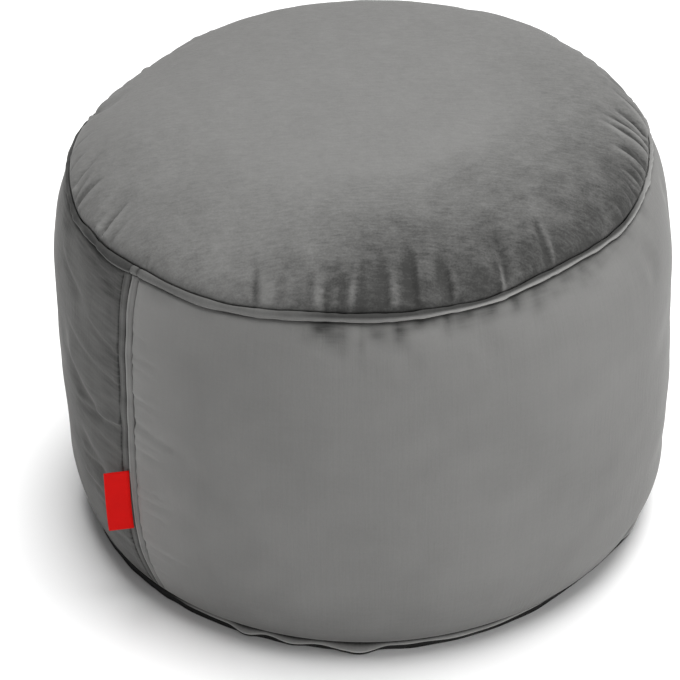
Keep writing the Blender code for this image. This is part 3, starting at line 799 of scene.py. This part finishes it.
def wall_nap_and_shade(points, angles, heights, form):
    """The panel left of the front seam is brushed the other way, and is darker. Painted shade and
    highlights lie over both panels.
    """
    beyond = degrees_between(angles, FRONT_SEAM_ANGLE)
    below = SHOULDER_HEIGHT - heights
    dark_panel = PANEL_DARK + PANEL_LIGHTER * ease(below / PANEL_LIGHTER_OVER)
    dark_panel += PANEL_EDGE_LIGHTER * ease(-beyond / PANEL_EDGE_OVER)
    dark_panel += 0.06 * lumps(points, size=0.035, seed=77) + 0.04 * lumps(points, size=0.012, seed=79)
    light_panel = WALL_LIGHT + SEAM_LIGHTER * np.exp(-np.abs(beyond / SEAM_LIGHTER_OVER))
    light_panel += ramped(RIGHT_DARKENS, beyond)
    light_panel += SEAM_SIDE_LIGHTER * np.clip((SEAM_SIDE_TO - beyond) / SEAM_SIDE_OVER, 0, 1)
    at_front = bell(angles - FRONT_FOOT_ANGLE, FRONT_FOOT_HALF_WIDTH)
    light_panel -= FRONT_FOOT_DARKER * ease((FRONT_FOOT_TO - heights) / FRONT_FOOT_OVER) * at_front
    light_panel += 0.025 * lumps(points, size=0.050, seed=78) + 0.015 * lumps(points, size=0.014, seed=80)
    shade_line = ease((angles - SHADE_LINE_FROM) / SHADE_LINE_FADES_IN) * ease((SHADE_LINE_TO - angles) / SHADE_LINE_FADES_OUT)
    # Painted shade: a thin dark line under the welt, the darker wall below it, and dark lines along the
    # band edges.
    painted_shade = UNDER_WELT_SHADE_CHANGE * shade_line * peak(below, UNDER_WELT_SHADE_EDGE)
    painted_shade += dented_and_shaded(angles, heights) * (1 + 0.25 * lumps(points, size=0.005, seed=21))
    for seam in SEAM_ANGLES:
        aside = metres_aside(angles, seam)
        for line in (0, form.band_width):
            painted_shade -= BAND_SHADE_DEPTH * peak(aside - line, BAND_SHADE_WIDTH)
    rim = RIM_LIGHTER * peak(heights - ANKLE_HEIGHT, RIM_WIDTH)
    nap_and_shade = np.where(beyond < 0, dark_panel, light_panel) + painted_shade + rim
    return softly_above_zero(nap_and_shade)


# --------------------------------------------------------------------------------------- welts, bands


WELT_MIDDLE = 0.0025
WELT_TILT = math.radians(30)
WELT_LONG, WELT_SHORT = 0.0047, 0.0026
WELT_CORNERS = 18
# Where the welt's ends are joined over an upright seam, between two lines this many degrees apart.
JOIN_WIDTH = 2.0
JOIN_DEPTH, JOIN_GAP = 0.0008, 0.0007
# The crown's folds carry on into the welt, at this share of the height that they have at this share of
# the seam's radius.
FOLDS_IN_WELT, FOLDS_READ_AT = 0.2, 0.985
WELT_UNEVENNESS = 0.0004
# The foot welt's section, as radius and height: over the welt, down its lip, and in under it.
FOOT_WELT = (
    (0.2254, 0.0094), (0.2262, 0.0103), (0.2273, 0.0105), (0.2284, 0.0103), (0.2292, 0.0098),
    (0.2298, 0.0091), (0.2301, 0.0083), (0.2299, 0.0076), (0.2293, 0.0071), (0.2288, 0.0062),
    (0.2285, 0.0048), (0.2282, 0.0008), (0.2240, 0.0008), (0.2240, 0.0080),
)
WeltLobe = namedtuple("WeltLobe", "angle half_width drop")
FRONT_LOBES = (
    WeltLobe(-24, 4.5, 0.0019), WeltLobe(-14, 5.0, 0.0014), WeltLobe(-3.4, 5.4, 0.0017),
    WeltLobe(0.4, 4.6, 0.0018), WeltLobe(22, 12, 0.0008), WeltLobe(-4, 44, 0.0008),
)


def top_welt_section():
    """The folded seam allowance between the crown and the wall, as an oval that tilts inwards."""
    section = []
    for corner in range(WELT_CORNERS):
        turn = math.tau * corner / WELT_CORNERS
        long, short = WELT_LONG * math.cos(turn), WELT_SHORT * math.sin(turn)
        out = WELT_MIDDLE + short * math.cos(WELT_TILT) - long * math.sin(WELT_TILT)
        up = long * math.cos(WELT_TILT) + short * math.sin(WELT_TILT) - WELT_HALF_HEIGHT
        section.append((SEAM_RADIUS + out, SEAM_HEIGHT + up))
    return section


def shape_top_welt(mesh):
    radii, angles, heights = polar(read(mesh, "co"))
    angles = drawn_to_seams(angles)
    width = around(WELT_LINE, "width_share", angles)
    middle = SEAM_HEIGHT - WELT_HALF_HEIGHT
    down = ease((SEAM_HEIGHT - heights) / (2 * WELT_HALF_HEIGHT))
    radii = SEAM_RADIUS + WELT_MIDDLE + (radii - SEAM_RADIUS - WELT_MIDDLE) * width
    heights = middle + (heights - middle) * width
    heights -= around(WELT_LINE, "drop", angles)
    write(mesh, settled_seam(from_polar(radii, angles, heights)))
    points, normals = read(mesh, "co"), read(mesh, "normal")
    relief = FOLDS_IN_WELT * fold_relief(angles, np.full_like(angles, FOLDS_READ_AT))
    relief += WELT_UNEVENNESS * lumps(points, size=0.012, seed=44)
    for seam in SEAM_ANGLES:
        for line in (seam, seam + JOIN_WIDTH):
            aside = metres_aside(angles, line, SEAM_RADIUS)
            relief -= JOIN_DEPTH * peak(aside, JOIN_GAP)
    write(mesh, points + normals * relief[:, None])
    paint(mesh, "nap_and_shade", top_welt_nap_and_shade(points, angles, down))


# Down the welt these count from its upper side, 0, to its lower one, 1. Round it, from the front seam.
# Painted light and shade: the welt is painted darker along its upper side, under the crown, and lighter
# along its lower side as a highlight, most at the right; left of the front seam it keeps the dark panel's
# tone, with a lighter lower edge.
WELT_DARK, WELT_DARK_LIGHTENS = 0.03, Ramp(0.26, 0.62, 0.30)
WELT_UPPER, WELT_UPPER_DARKENS, WELT_UPPER_LIGHTENS = 0.26, Ramp(-0.28, 30, 14), Ramp(0.66, 108, 17)
WELT_LOWER, WELT_LOWER_LIGHTENS = 0.48, Ramp(0.44, 40, 34)
WELT_LOWER_FROM, WELT_LOWER_OVER, WELT_LOWER_WIDENS = 0.08, 0.68, Ramp(0.13, 56, 22)
JOIN_DARKER, JOIN_LINE_WIDTH = 0.22, 0.35


def top_welt_nap_and_shade(points, angles, down):
    """The welt is painted dark along its upper side as shade under the crown, and light along its lower one
    as a highlight, most of all at the right.
    """
    beyond = degrees_between(angles, FRONT_SEAM_ANGLE)
    dark_side = WELT_DARK + ramped(WELT_DARK_LIGHTENS, down)
    upper = WELT_UPPER + ramped(WELT_UPPER_DARKENS, beyond) + ramped(WELT_UPPER_LIGHTENS, beyond)
    lower = WELT_LOWER + ramped(WELT_LOWER_LIGHTENS, beyond)
    turned_light = ease((down - WELT_LOWER_FROM + ramped(WELT_LOWER_WIDENS, beyond)) / WELT_LOWER_OVER)
    light_side = upper + (lower - upper) * turned_light
    for line in (FRONT_SEAM_ANGLE, FRONT_SEAM_ANGLE + JOIN_WIDTH):
        light_side -= JOIN_DARKER * peak(degrees_between(angles, line), JOIN_LINE_WIDTH)
    return np.where(beyond < 0, dark_side, light_side) + 0.02 * lumps(points, size=0.010, seed=45)


# A dark crack, painted shade, shows over the foot welt between these angles. A lobe flares out as far as
# this many times its drop, and at the right the welt is tucked in under the wall.
CRACK_FROM, CRACK_TO = -30.0, 33.0
CRACK_FADES_OVER = 4
CRACK_DARKER, CRACK_REACH, CRACK_FADE = 0.36, 0.34, 0.14
CREST_HEIGHT, LIP_HEIGHT = FOOT_WELT[1][1], 0.0076
LOBE_FLARE = 1.6
LOBE_BELOW_CREST, LOBE_OVER_FLOOR, FLOOR_GAP = 0.0022, 0.0045, 0.0006
TUCKED_IN, TUCKED_ANGLE, TUCKED_HALF_WIDTH = 0.0036, 54, 24
# A share of the way down from the welt's crest to its lip. Past the last share it is painted black, a
# painted shadow under the lip; towards the lip it is painted lighter, a highlight.
FOOT_NAP, FOOT_LIP_LIGHTENS, UNDER_LIP = 0.40, Ramp(0.60, 0.60, 0.40), 1.10
# The foot lies in the dark on both sides of the front. Angles and half widths, in degrees.
DARK_SIDES = ((51, 19), (-51, 20))
DARK_STRENGTH = 1.7
BACK_LOBES, BACK_LOBES_FROM, BACK_LOBES_OVER = 15, 45.0, 280.0


def all_lobes():
    """The lobes that show at the front, and an uneven run of them round the rest of the foot."""
    lobes = list(FRONT_LOBES)
    spacing = BACK_LOBES_OVER / BACK_LOBES
    for index in range(BACK_LOBES):
        angle = BACK_LOBES_FROM + spacing * (index + 0.4 * math.sin(2.4 * index))
        drop = 0.0008 * (1 + 0.6 * math.sin(1.7 * index))
        lobes.append(WeltLobe(angle, spacing / 3, drop))
    return lobes


def shape_bottom_welt(mesh):
    radii, angles, heights = polar(read(mesh, "co"))
    share = (CREST_HEIGHT - heights) / (CREST_HEIGHT - LIP_HEIGHT)
    low = np.clip((CREST_HEIGHT - heights) / LOBE_BELOW_CREST, 0, 1) * ease(heights / LOBE_OVER_FLOOR)
    drop = sum(lobe.drop * bell(degrees_between(angles, lobe.angle), lobe.half_width)
               for lobe in all_lobes())
    radii = radii + LOBE_FLARE * drop * low
    radii -= TUCKED_IN * bell(angles - TUCKED_ANGLE, TUCKED_HALF_WIDTH)
    heights = np.maximum(FLOOR_GAP, heights - drop * low)
    write(mesh, settled(from_polar(radii, angles, heights)))
    points, normals = read(mesh, "co"), read(mesh, "normal")
    write(mesh, points + normals * (0.0003 * lumps(points, size=0.010, seed=61))[:, None])
    crack = ease((angles - CRACK_FROM) / CRACK_FADES_OVER) * ease((CRACK_TO - angles) / CRACK_FADES_OVER)
    cracked = CRACK_DARKER * crack * ease((CRACK_REACH - share) / CRACK_FADE)
    in_dark = DARK_STRENGTH * sum(bell(angles - middle, reach) for middle, reach in DARK_SIDES)
    nap_and_shade = FOOT_NAP + ramped(FOOT_LIP_LIGHTENS, share) - cracked
    paint(mesh, "nap_and_shade", np.where(share > UNDER_LIP, 0.0, nap_and_shade * (1 - np.clip(in_dark, 0, 1))))


# The section of an upright seam's band: the share of its width from the seam, and its height in metres
# over the drawn-in wall.
BAND_SECTION = (
    (0.055, -0.0004), (0.055, 0.0006), (0.085, 0.0012), (0.140, 0.0016), (0.230, 0.0018), (0.450, 0.0018),
    (0.680, 0.0017), (0.850, 0.0015), (0.930, 0.0011), (0.965, 0.0004), (0.965, -0.0004),
)
BAND_ROWS, BAND_END_GAP = 220, 0.0005
BAND_OUTSIDE_DARKENS = Ramp(-0.40, 0.34, 0.14)


def seam_band(seam_angle, side, form):
    """The seam allowance on one side of an upright seam, stitched flat on the wall."""
    top = SHOULDER_HEIGHT
    heights = np.linspace(top - BAND_END_GAP, ANKLE_HEIGHT + BAND_END_GAP, BAND_ROWS)
    shape = bmesh.new()
    loops = []
    for height in heights:
        ring = []
        for across, proud in BAND_SECTION:
            radius = float(wall_radius(height)) - form.groove_depth + proud
            turn = math.radians(seam_angle) + side * across * form.band_width / radius
            ring.append(shape.verts.new((radius * math.sin(turn), -radius * math.cos(turn), height)))
        loops.append([shape.edges.new((ring[i - 1], ring[i])) for i in range(len(ring))])
    for upper, lower in zip(loops, loops[1:]):
        bmesh.ops.bridge_loops(shape, edges=upper + lower)
    bmesh.ops.holes_fill(shape, edges=loops[0] + loops[-1], sides=len(BAND_SECTION))
    return shape


def shape_band(mesh, seam_angle, dark, form):
    radii, angles, heights = polar(read(mesh, "co"))
    aside = metres_aside(angles, seam_angle) / form.band_width
    points = settled(from_polar(radii, drifted(angles, heights), heights))
    write(mesh, points)
    normals = read(mesh, "normal")
    write(mesh, points + normals * (0.00025 * lumps(points, size=0.009, seed=22))[:, None])
    # Painted highlights and shade across the bands: the dark band is painted lighter along its middle; the
    # light band is lighter by the seam, darker over its outer part, with a lighter line near its outer
    # edge.
    if dark:
        nap_and_shade = 0.20 + 0.16 * bell(aside - 0.45, 0.35)
    else:
        nap_and_shade = 0.96 + ramped(BAND_OUTSIDE_DARKENS, aside) + 0.10 * bell(aside - 0.72, 0.16)
    paint(mesh, "nap_and_shade", nap_and_shade + 0.05 * lumps(points, size=0.007, seed=23))


# ------------------------------------------------------------------------------------------------- tab


TAB_TOP = 0.134
TAB_BOTTOM = 0.076
TAB_LEAN = 58.0
TAB_ROOT_GAP = 0.0006
TAB_TAPE_THICKNESS = 0.0005
TAB_GAP = 0.0007
TAB_CURL = 0.0009
TAB_ROWS, TAB_STEPS, TAB_BEND_STEPS = 28, 8, 6


def label_tab(form):
    """A bare tape, folded in half and caught in the front seam. It stands out over the left band."""
    turn = math.radians(FRONT_SEAM_ANGLE)
    outward = Vector((math.sin(turn), -math.cos(turn), 0))
    leftward = Vector((-math.cos(turn), -math.sin(turn), 0))
    lean = math.radians(TAB_LEAN)
    along = leftward * math.cos(lean) + outward * math.sin(lean)
    face = outward * math.cos(lean) - leftward * math.sin(lean)
    half = TAB_GAP / 2
    straight = form.tab_width - half
    outline = [(straight * step / TAB_STEPS, -half) for step in range(TAB_STEPS + 1)]
    outline += [(straight + half * math.sin(bend), -half * math.cos(bend))
                for bend in (math.pi * step / TAB_BEND_STEPS for step in range(1, TAB_BEND_STEPS))]
    outline += [(straight * (1 - step / TAB_STEPS), half) for step in range(TAB_STEPS + 1)]
    shape = bmesh.new()
    rows = []
    for step in range(TAB_ROWS + 1):
        height = TAB_TOP + (TAB_BOTTOM - TAB_TOP) * step / TAB_ROWS
        root = outward * (float(wall_radius(height)) + TAB_ROOT_GAP) + Vector((0, 0, height))
        ring = []
        for reach, aside in outline:
            curl = TAB_CURL * math.sin(math.pi * step / TAB_ROWS) * (reach / form.tab_width) ** 2
            ring.append(shape.verts.new(root + along * reach + face * (aside + curl)))
        rows.append([shape.edges.new(pair) for pair in zip(ring, ring[1:])])
    for upper, lower in zip(rows, rows[1:]):
        bmesh.ops.bridge_loops(shape, edges=upper + lower)
    bmesh.ops.recalc_face_normals(shape, faces=shape.faces)
    bmesh.ops.solidify(shape, geom=shape.faces[:], thickness=TAB_TAPE_THICKNESS)
    return shape


# ------------------------------------------------------------------------------------------- materials


class Socket:
    """A value from a node. Arithmetic on it adds Math nodes."""

    def __init__(self, shader, output):
        self.shader = shader
        self.output = output

    def calculated(self, operation, first, second):
        return self.shader.node("ShaderNodeMath", {"operation": operation}, {0: first, 1: second})

    def __add__(self, other):
        return self.calculated("ADD", self, other)

    def __radd__(self, other):
        return self.calculated("ADD", other, self)

    def __sub__(self, other):
        return self.calculated("SUBTRACT", self, other)

    def __rsub__(self, other):
        return self.calculated("SUBTRACT", other, self)

    def __mul__(self, other):
        return self.calculated("MULTIPLY", self, other)

    def __rmul__(self, other):
        return self.calculated("MULTIPLY", other, self)


class Shader:
    """A material's nodes, added one call at a time."""

    def __init__(self, name):
        self.material = bpy.data.materials.new(name)
        self.material.use_nodes = True
        self.nodes = self.material.node_tree.nodes
        self.links = self.material.node_tree.links
        self.surface = self.nodes["Principled BSDF"]

    def feed(self, node, sockets):
        for name, value in sockets.items():
            if isinstance(value, Socket):
                self.links.new(value.output, node.inputs[name])
            else:
                node.inputs[name].default_value = value

    def node(self, kind, settings=None, sockets=None, output=0):
        node = self.nodes.new(kind)
        for name, value in (settings or {}).items():
            setattr(node, name, value)
        self.feed(node, sockets or {})
        return Socket(self, node.outputs[output])

    def place(self):
        return self.node("ShaderNodeTexCoord", output="Object")

    def grain(self, size, detail=2.0, roughness=0.5, place=None):
        """Noise between 0 and 1, of a given size in metres."""
        return self.node("ShaderNodeTexNoise", {"noise_dimensions": "3D"}, {
            "Vector": place or self.place(), "Scale": 1 / size, "Detail": detail, "Roughness": roughness})

    def stretched_grain(self, place, per_metre, detail=3.0):
        """Noise between 0 and 1 with its own size along each axis."""
        scaled = self.node("ShaderNodeVectorMath", {"operation": "MULTIPLY"}, {0: place, 1: per_metre})
        return self.grain(1.0, detail, 0.6, scaled)

    def round_place(self, place):
        """Where a point lies round the wall: metres along the round, and the height."""
        axes = [self.node("ShaderNodeSeparateXYZ", None, {"Vector": place}, output=axis) for axis in "XYZ"]
        turn = self.node("ShaderNodeMath", {"operation": "ARCTAN2"}, {0: axes[0], 1: -1 * axes[1]})
        return self.node("ShaderNodeCombineXYZ", None, {"X": turn * WALL_RADIUS, "Y": axes[2]})

    def between(self, factor, one, other):
        """A mix of two colours."""
        return self.node("ShaderNodeMix", {"data_type": "RGBA", "clamp_factor": True},
                         {"Factor": factor, 6: one, 7: other}, output=2)

    def bump(self, height, distance, strength=1.0, normal=None):
        sockets = {"Height": height, "Distance": distance, "Strength": strength}
        if normal is not None:
            sockets["Normal"] = normal
        return self.node("ShaderNodeBump", None, sockets)

    def finish(self, **sockets):
        self.feed(self.surface, {name.replace("_", " "): value for name, value in sockets.items()})
        return self.material


# How much lighter and darker than the flat cloth the pile turns, how much of its sheen is left, how strong
# its ribs are, and how far past a nap of 1 it may still lighten. The lighter copies paint highlights on the
# welts, bands and foot lip, and the wall's headroom leaves room for its painted highlights; the foot's
# darker copy, without sheen, paints the shadow under its lip.
Pile = namedtuple("Pile", "lighter darker sheen ribbing headroom")
PILES = {
    "brushed_velvet": Pile(1.0, 1.0, 1.0, 0.0, 1.0), "upright_velvet": Pile(1.0, 1.0, 1.0, 1.5, 1.3),
    "folded_velvet_painted_highlight": Pile(1.4, 1.0, 1.0, 0.25, 1.0), "foot_velvet_painted_shading": Pile(2.3, 0.4, 0.0, 0.10, 1.0),
}


def velvet(finish, name="brushed_velvet"):
    """Short cut pile. The painted nap, from 0, dark, to 1, light, says which way it is brushed, with
    painted shade and highlights added in.
    """
    found = bpy.data.materials.get(name)
    if found:
        return found
    kind = PILES[name]
    shader = Shader(name)
    place = shader.place()
    if name == "brushed_velvet":
        across, along = place, (1 / 0.0085, 1 / 0.0021, 1 / 0.006)
    else:
        across, along = shader.round_place(place), (1 / 0.0026, 1 / 0.050, 1.0)
    nap_and_shade = shader.node("ShaderNodeAttribute", {"attribute_name": "nap_and_shade"}, output="Fac")
    clouds = shader.grain(0.040, 3.0, 0.55, place) - 0.5
    strokes = shader.stretched_grain(across, along) - 0.5
    pile = shader.grain(0.0016, 2.0, 0.6, place) - 0.5
    if name == "brushed_velvet":
        mottle = shader.grain(0.0075, 3.0, 0.65, place) - 0.5
        ruffled = (nap_and_shade + 0.35) * (1.08 - nap_and_shade)
        texture = (strokes * 1.1 + pile * 0.9 + mottle * 0.9) * ruffled + clouds * 0.10
    else:
        level = shader.stretched_grain(across, (1 / 0.030, 1 / 0.0035, 1.0)) - 0.5
        turned_away = 1.04 - nap_and_shade
        ribs = level * turned_away * turned_away * kind.ribbing
        texture = ribs + strokes * 0.07 + pile * 0.10 + clouds * 0.16
    light = tuple(kind.lighter * kind.headroom * value for value in finish.with_nap)
    dark = tuple(kind.darker * value for value in finish.against_nap)
    full_nap = (light[0] / kind.headroom - dark[0]) / (light[0] - dark[0])
    colour = shader.between((nap_and_shade + texture) * full_nap, (*dark, 1), (*light, 1))
    relief = shader.bump(pile, 0.0002, 0.6)
    relief = shader.bump(strokes, 0.0007, 0.35, relief)
    relief = shader.bump(shader.grain(0.006, 3.0, 0.6, place), 0.0006, 0.30, relief)
    return shader.finish(
        Base_Color=colour, Roughness=0.88, Specular_IOR_Level=0.12, Sheen_Weight=kind.sheen * finish.sheen,
        Sheen_Roughness=0.35, Sheen_Tint=(1.0, 0.99, 0.97, 1.0), Normal=relief)


def woven_tape(finish):
    """Plain woven ribbon, with fine ribs along its length and threads across."""
    shader = Shader("red_tape_weave")
    place = shader.place()
    height = shader.node("ShaderNodeSeparateXYZ", None, {"Vector": place}, output="Z")
    ribs = shader.node("ShaderNodeMath", {"operation": "SINE"}, {0: height * (math.tau / 0.0007)})
    threads = shader.grain(0.0005, 1.0, place=place)
    wear = shader.grain(0.012, 3.0, place=place)
    shade = wear * 0.5 + threads * 0.3 + ribs * 0.06
    dark = tuple(0.72 * value for value in finish.tape)
    colour = shader.between(shade, (*dark, 1), (*finish.tape, 1))
    relief = shader.bump(ribs * 0.5 + threads, 0.00012, 0.7)
    return shader.finish(Base_Color=colour, Roughness=0.75, Specular_IOR_Level=0.1, Normal=relief)


# ------------------------------------------------------------------------------------------- operators


class FOOTSTOOL_OT_crown(bpy.types.Operator):
    """Add the crowned top panel with its filling, pleats and folds"""

    bl_idname = "footstool.crown"
    bl_label = "Crowned top"

    def execute(self, context):
        scene = context.scene
        section, inner_radius = crown_section()
        shape = turned(section, CROWN_COLUMNS)
        split_columns(shape, inner_radius - 1e-5, CROWN_SKIN_FLOOR)
        piece = finished("crown", shape, velvet(scene.footstool_finish), ["filled_body"],
                         lambda mesh: shape_crown(mesh, scene.footstool_form))
        return {"FINISHED"}


class FOOTSTOOL_OT_wall(bpy.types.Operator):
    """Add the filled wall with its creases and flat base"""

    bl_idname = "footstool.wall"
    bl_label = "Wall and base"

    def execute(self, context):
        scene = context.scene
        cloth = velvet(scene.footstool_finish, "upright_velvet")
        shape = turned(wall_section(), WALL_COLUMNS)
        piece = finished("wall", shape, cloth, ["filled_body"],
                         lambda mesh: shape_wall(mesh, scene.footstool_form))
        return {"FINISHED"}


class FOOTSTOOL_OT_welts(bpy.types.Operator):
    """Add the welts sewn into the top seam and round the foot"""

    bl_idname = "footstool.welts"
    bl_label = "Welts"

    def execute(self, context):
        finish = context.scene.footstool_finish
        finished("top_welt_strip", turned(top_welt_section(), TOP_WELT_COLUMNS, closed=True),
                 velvet(finish, "folded_velvet_painted_highlight"), ["top_welt"], shape_top_welt)
        finished("bottom_welt_strip", turned(FOOT_WELT, FOOT_WELT_COLUMNS, closed=True),
                 velvet(finish, "foot_velvet_painted_shading"), ["bottom_welt"],
                 shape_bottom_welt)
        return {"FINISHED"}


class FOOTSTOOL_OT_seam_bands(bpy.types.Operator):
    """Add the flat-stitched bands of both upright seams"""

    bl_idname = "footstool.seam_bands"
    bl_label = "Seam bands"

    def execute(self, context):
        scene = context.scene
        form, cloth = scene.footstool_form, velvet(scene.footstool_finish, "folded_velvet_painted_highlight")
        for seam, angle in (("front_seam", FRONT_SEAM_ANGLE), ("back_seam", BACK_SEAM_ANGLE)):
            for side_name, side in (("left", -1), ("right", 1)):
                dark = (side < 0) == (seam == "front_seam")
                node = f"{seam}_{side_name}_band"
                finished(f"{node}_cloth", seam_band(angle, side, form), cloth,
                         [node],
                         lambda mesh: shape_band(mesh, angle, dark, form))
        return {"FINISHED"}


class FOOTSTOOL_OT_label_tab(bpy.types.Operator):
    """Add the bare folded tab in the front seam"""

    bl_idname = "footstool.label_tab"
    bl_label = "Tab"

    def execute(self, context):
        scene = context.scene
        form = scene.footstool_form
        piece = finished("folded_tab", label_tab(form), woven_tape(scene.footstool_finish),
                         ["label_tab"], lambda mesh: write(mesh, settled(read(mesh, "co"))))
        return {"FINISHED"}


class FOOTSTOOL_OT_stage(bpy.types.Operator):
    """Add the pale floor, the soft lights and the camera"""

    bl_idname = "footstool.stage"
    bl_label = "Stage"

    def execute(self, context):
        add_floor()
        add_lights(context.scene)
        add_camera(context.scene)
        return {"FINISHED"}


# Where the camera stands, and where the footstool's own frame lies in the photograph.
CAMERA_PITCH = math.radians(33.42)
CAMERA_DISTANCE = 2.4
AIM_HEIGHT = 0.18
PIXELS_PER_METRE = 1226.0
PHOTO_SIDE = 680
AIM_PIXEL = (364.9, 299.7)
SENSOR_WIDTH = 36.0


def add_floor():
    shape = bmesh.new()
    bmesh.ops.create_circle(shape, cap_ends=True, segments=96, radius=9.0)
    shader = Shader("white_floor")
    mottle = shader.grain(0.4)
    colour = shader.between(mottle, (0.86, 0.86, 0.86, 1), (0.88, 0.88, 0.88, 1))
    material = shader.finish(Base_Color=colour, Roughness=0.9, Specular_IOR_Level=0.1)
    floor = added("studio_floor", shape, material)


WORLD_FILL = 0.14
OVERHEAD_STRENGTH = 4.75
OVERHEAD_TILT = math.radians(-10)
OVERHEAD_TURN = math.radians(-40)
OVERHEAD_SPREAD = math.radians(42)
Softbox = namedtuple("Softbox", "name place width power")
SOFTBOXES = (
    Softbox("front_softbox", (-0.2, -3.0, 0.75), 1.6, 13.2),
    Softbox("front_right_softbox", (1.6, -2.6, 0.90), 1.6, 19.6),
    Softbox("right_softbox", (2.7, -0.9, 1.0), 1.6, 25.5),
)


def add_lights(scene):
    world = bpy.data.worlds.new("studio")
    world.use_nodes = True
    nodes, links = world.node_tree.nodes, world.node_tree.links
    seen = nodes.new("ShaderNodeLightPath")
    strength = nodes.new("ShaderNodeMath")
    strength.operation = "MULTIPLY_ADD"
    strength.inputs[1].default_value = 1 - WORLD_FILL
    strength.inputs[2].default_value = WORLD_FILL
    links.new(seen.outputs["Is Camera Ray"], strength.inputs[0])
    links.new(strength.outputs[0], nodes["Background"].inputs["Strength"])
    nodes["Background"].inputs["Color"].default_value = (1.0, 1.0, 1.0, 1.0)
    scene.world = world
    overhead = bpy.data.lights.new("overhead_softbox", "SUN")
    overhead.energy = OVERHEAD_STRENGTH
    overhead.angle = OVERHEAD_SPREAD
    light = bpy.data.objects.new("overhead_softbox", overhead)
    light.rotation_euler = (OVERHEAD_TILT, 0, OVERHEAD_TURN)
    scene.collection.objects.link(light)
    aim = Vector((0, 0, AIM_HEIGHT))
    for box in SOFTBOXES:
        lamp = bpy.data.lights.new(box.name, "AREA")
        lamp.shape = "DISK"
        lamp.size = box.width
        lamp.energy = box.power
        light = bpy.data.objects.new(box.name, lamp)
        light.location = box.place
        light.rotation_euler = (aim - Vector(box.place)).to_track_quat("-Z", "Y").to_euler()
        scene.collection.objects.link(light)
    scene.view_settings.view_transform = "Standard"


def add_camera(scene):
    lens = bpy.data.cameras.new("photo_camera")
    lens.sensor_width = SENSOR_WIDTH
    lens.lens = PIXELS_PER_METRE * CAMERA_DISTANCE / PHOTO_SIDE * SENSOR_WIDTH
    lens.shift_x = (PHOTO_SIDE / 2 - AIM_PIXEL[0]) / PHOTO_SIDE
    lens.shift_y = (AIM_PIXEL[1] - PHOTO_SIDE / 2) / PHOTO_SIDE
    lens.clip_end = 50
    camera = bpy.data.objects.new("photo_camera", lens)
    camera.location = (0, -CAMERA_DISTANCE * math.cos(CAMERA_PITCH),
                       AIM_HEIGHT + CAMERA_DISTANCE * math.sin(CAMERA_PITCH))
    camera.rotation_euler = (math.pi / 2 - CAMERA_PITCH, 0, 0)
    scene.collection.objects.link(camera)
    scene.camera = camera


class FOOTSTOOL_PT_sidebar(bpy.types.Panel):
    """Lists the footstool's pieces and settings"""

    bl_idname = "FOOTSTOOL_PT_sidebar"
    bl_label = "Velvet Footstool"
    bl_space_type = "VIEW_3D"
    bl_region_type = "UI"
    bl_category = "Footstool"

    def draw(self, context):
        for group in (context.scene.footstool_form, context.scene.footstool_finish):
            column = self.layout.column()
            for name in group.bl_rna.properties.keys():
                if name not in ("rna_type", "name"):
                    column.prop(group, name)
        for operator in OPERATORS:
            self.layout.operator(operator.bl_idname)


GROUPS = {"footstool_form": FootstoolForm, "footstool_finish": FootstoolFinish}
OPERATORS = (
    FOOTSTOOL_OT_crown, FOOTSTOOL_OT_wall, FOOTSTOOL_OT_welts, FOOTSTOOL_OT_seam_bands,
    FOOTSTOOL_OT_label_tab, FOOTSTOOL_OT_stage,
)


def register():
    for made in (*GROUPS.values(), *OPERATORS, FOOTSTOOL_PT_sidebar):
        bpy.utils.register_class(made)
    for name, group in GROUPS.items():
        setattr(bpy.types.Scene, name, bpy.props.PointerProperty(type=group))


def unregister():
    for name in GROUPS:
        delattr(bpy.types.Scene, name)
    for made in (FOOTSTOOL_PT_sidebar, *reversed(OPERATORS), *GROUPS.values()):
        bpy.utils.unregister_class(made)


def main():
    register()
    bpy.ops.footstool.crown()
    bpy.ops.footstool.wall()
    bpy.ops.footstool.welts()
    bpy.ops.footstool.seam_bands()
    bpy.ops.footstool.label_tab()
    bpy.ops.footstool.stage()


if __name__ == "__main__":
    main()
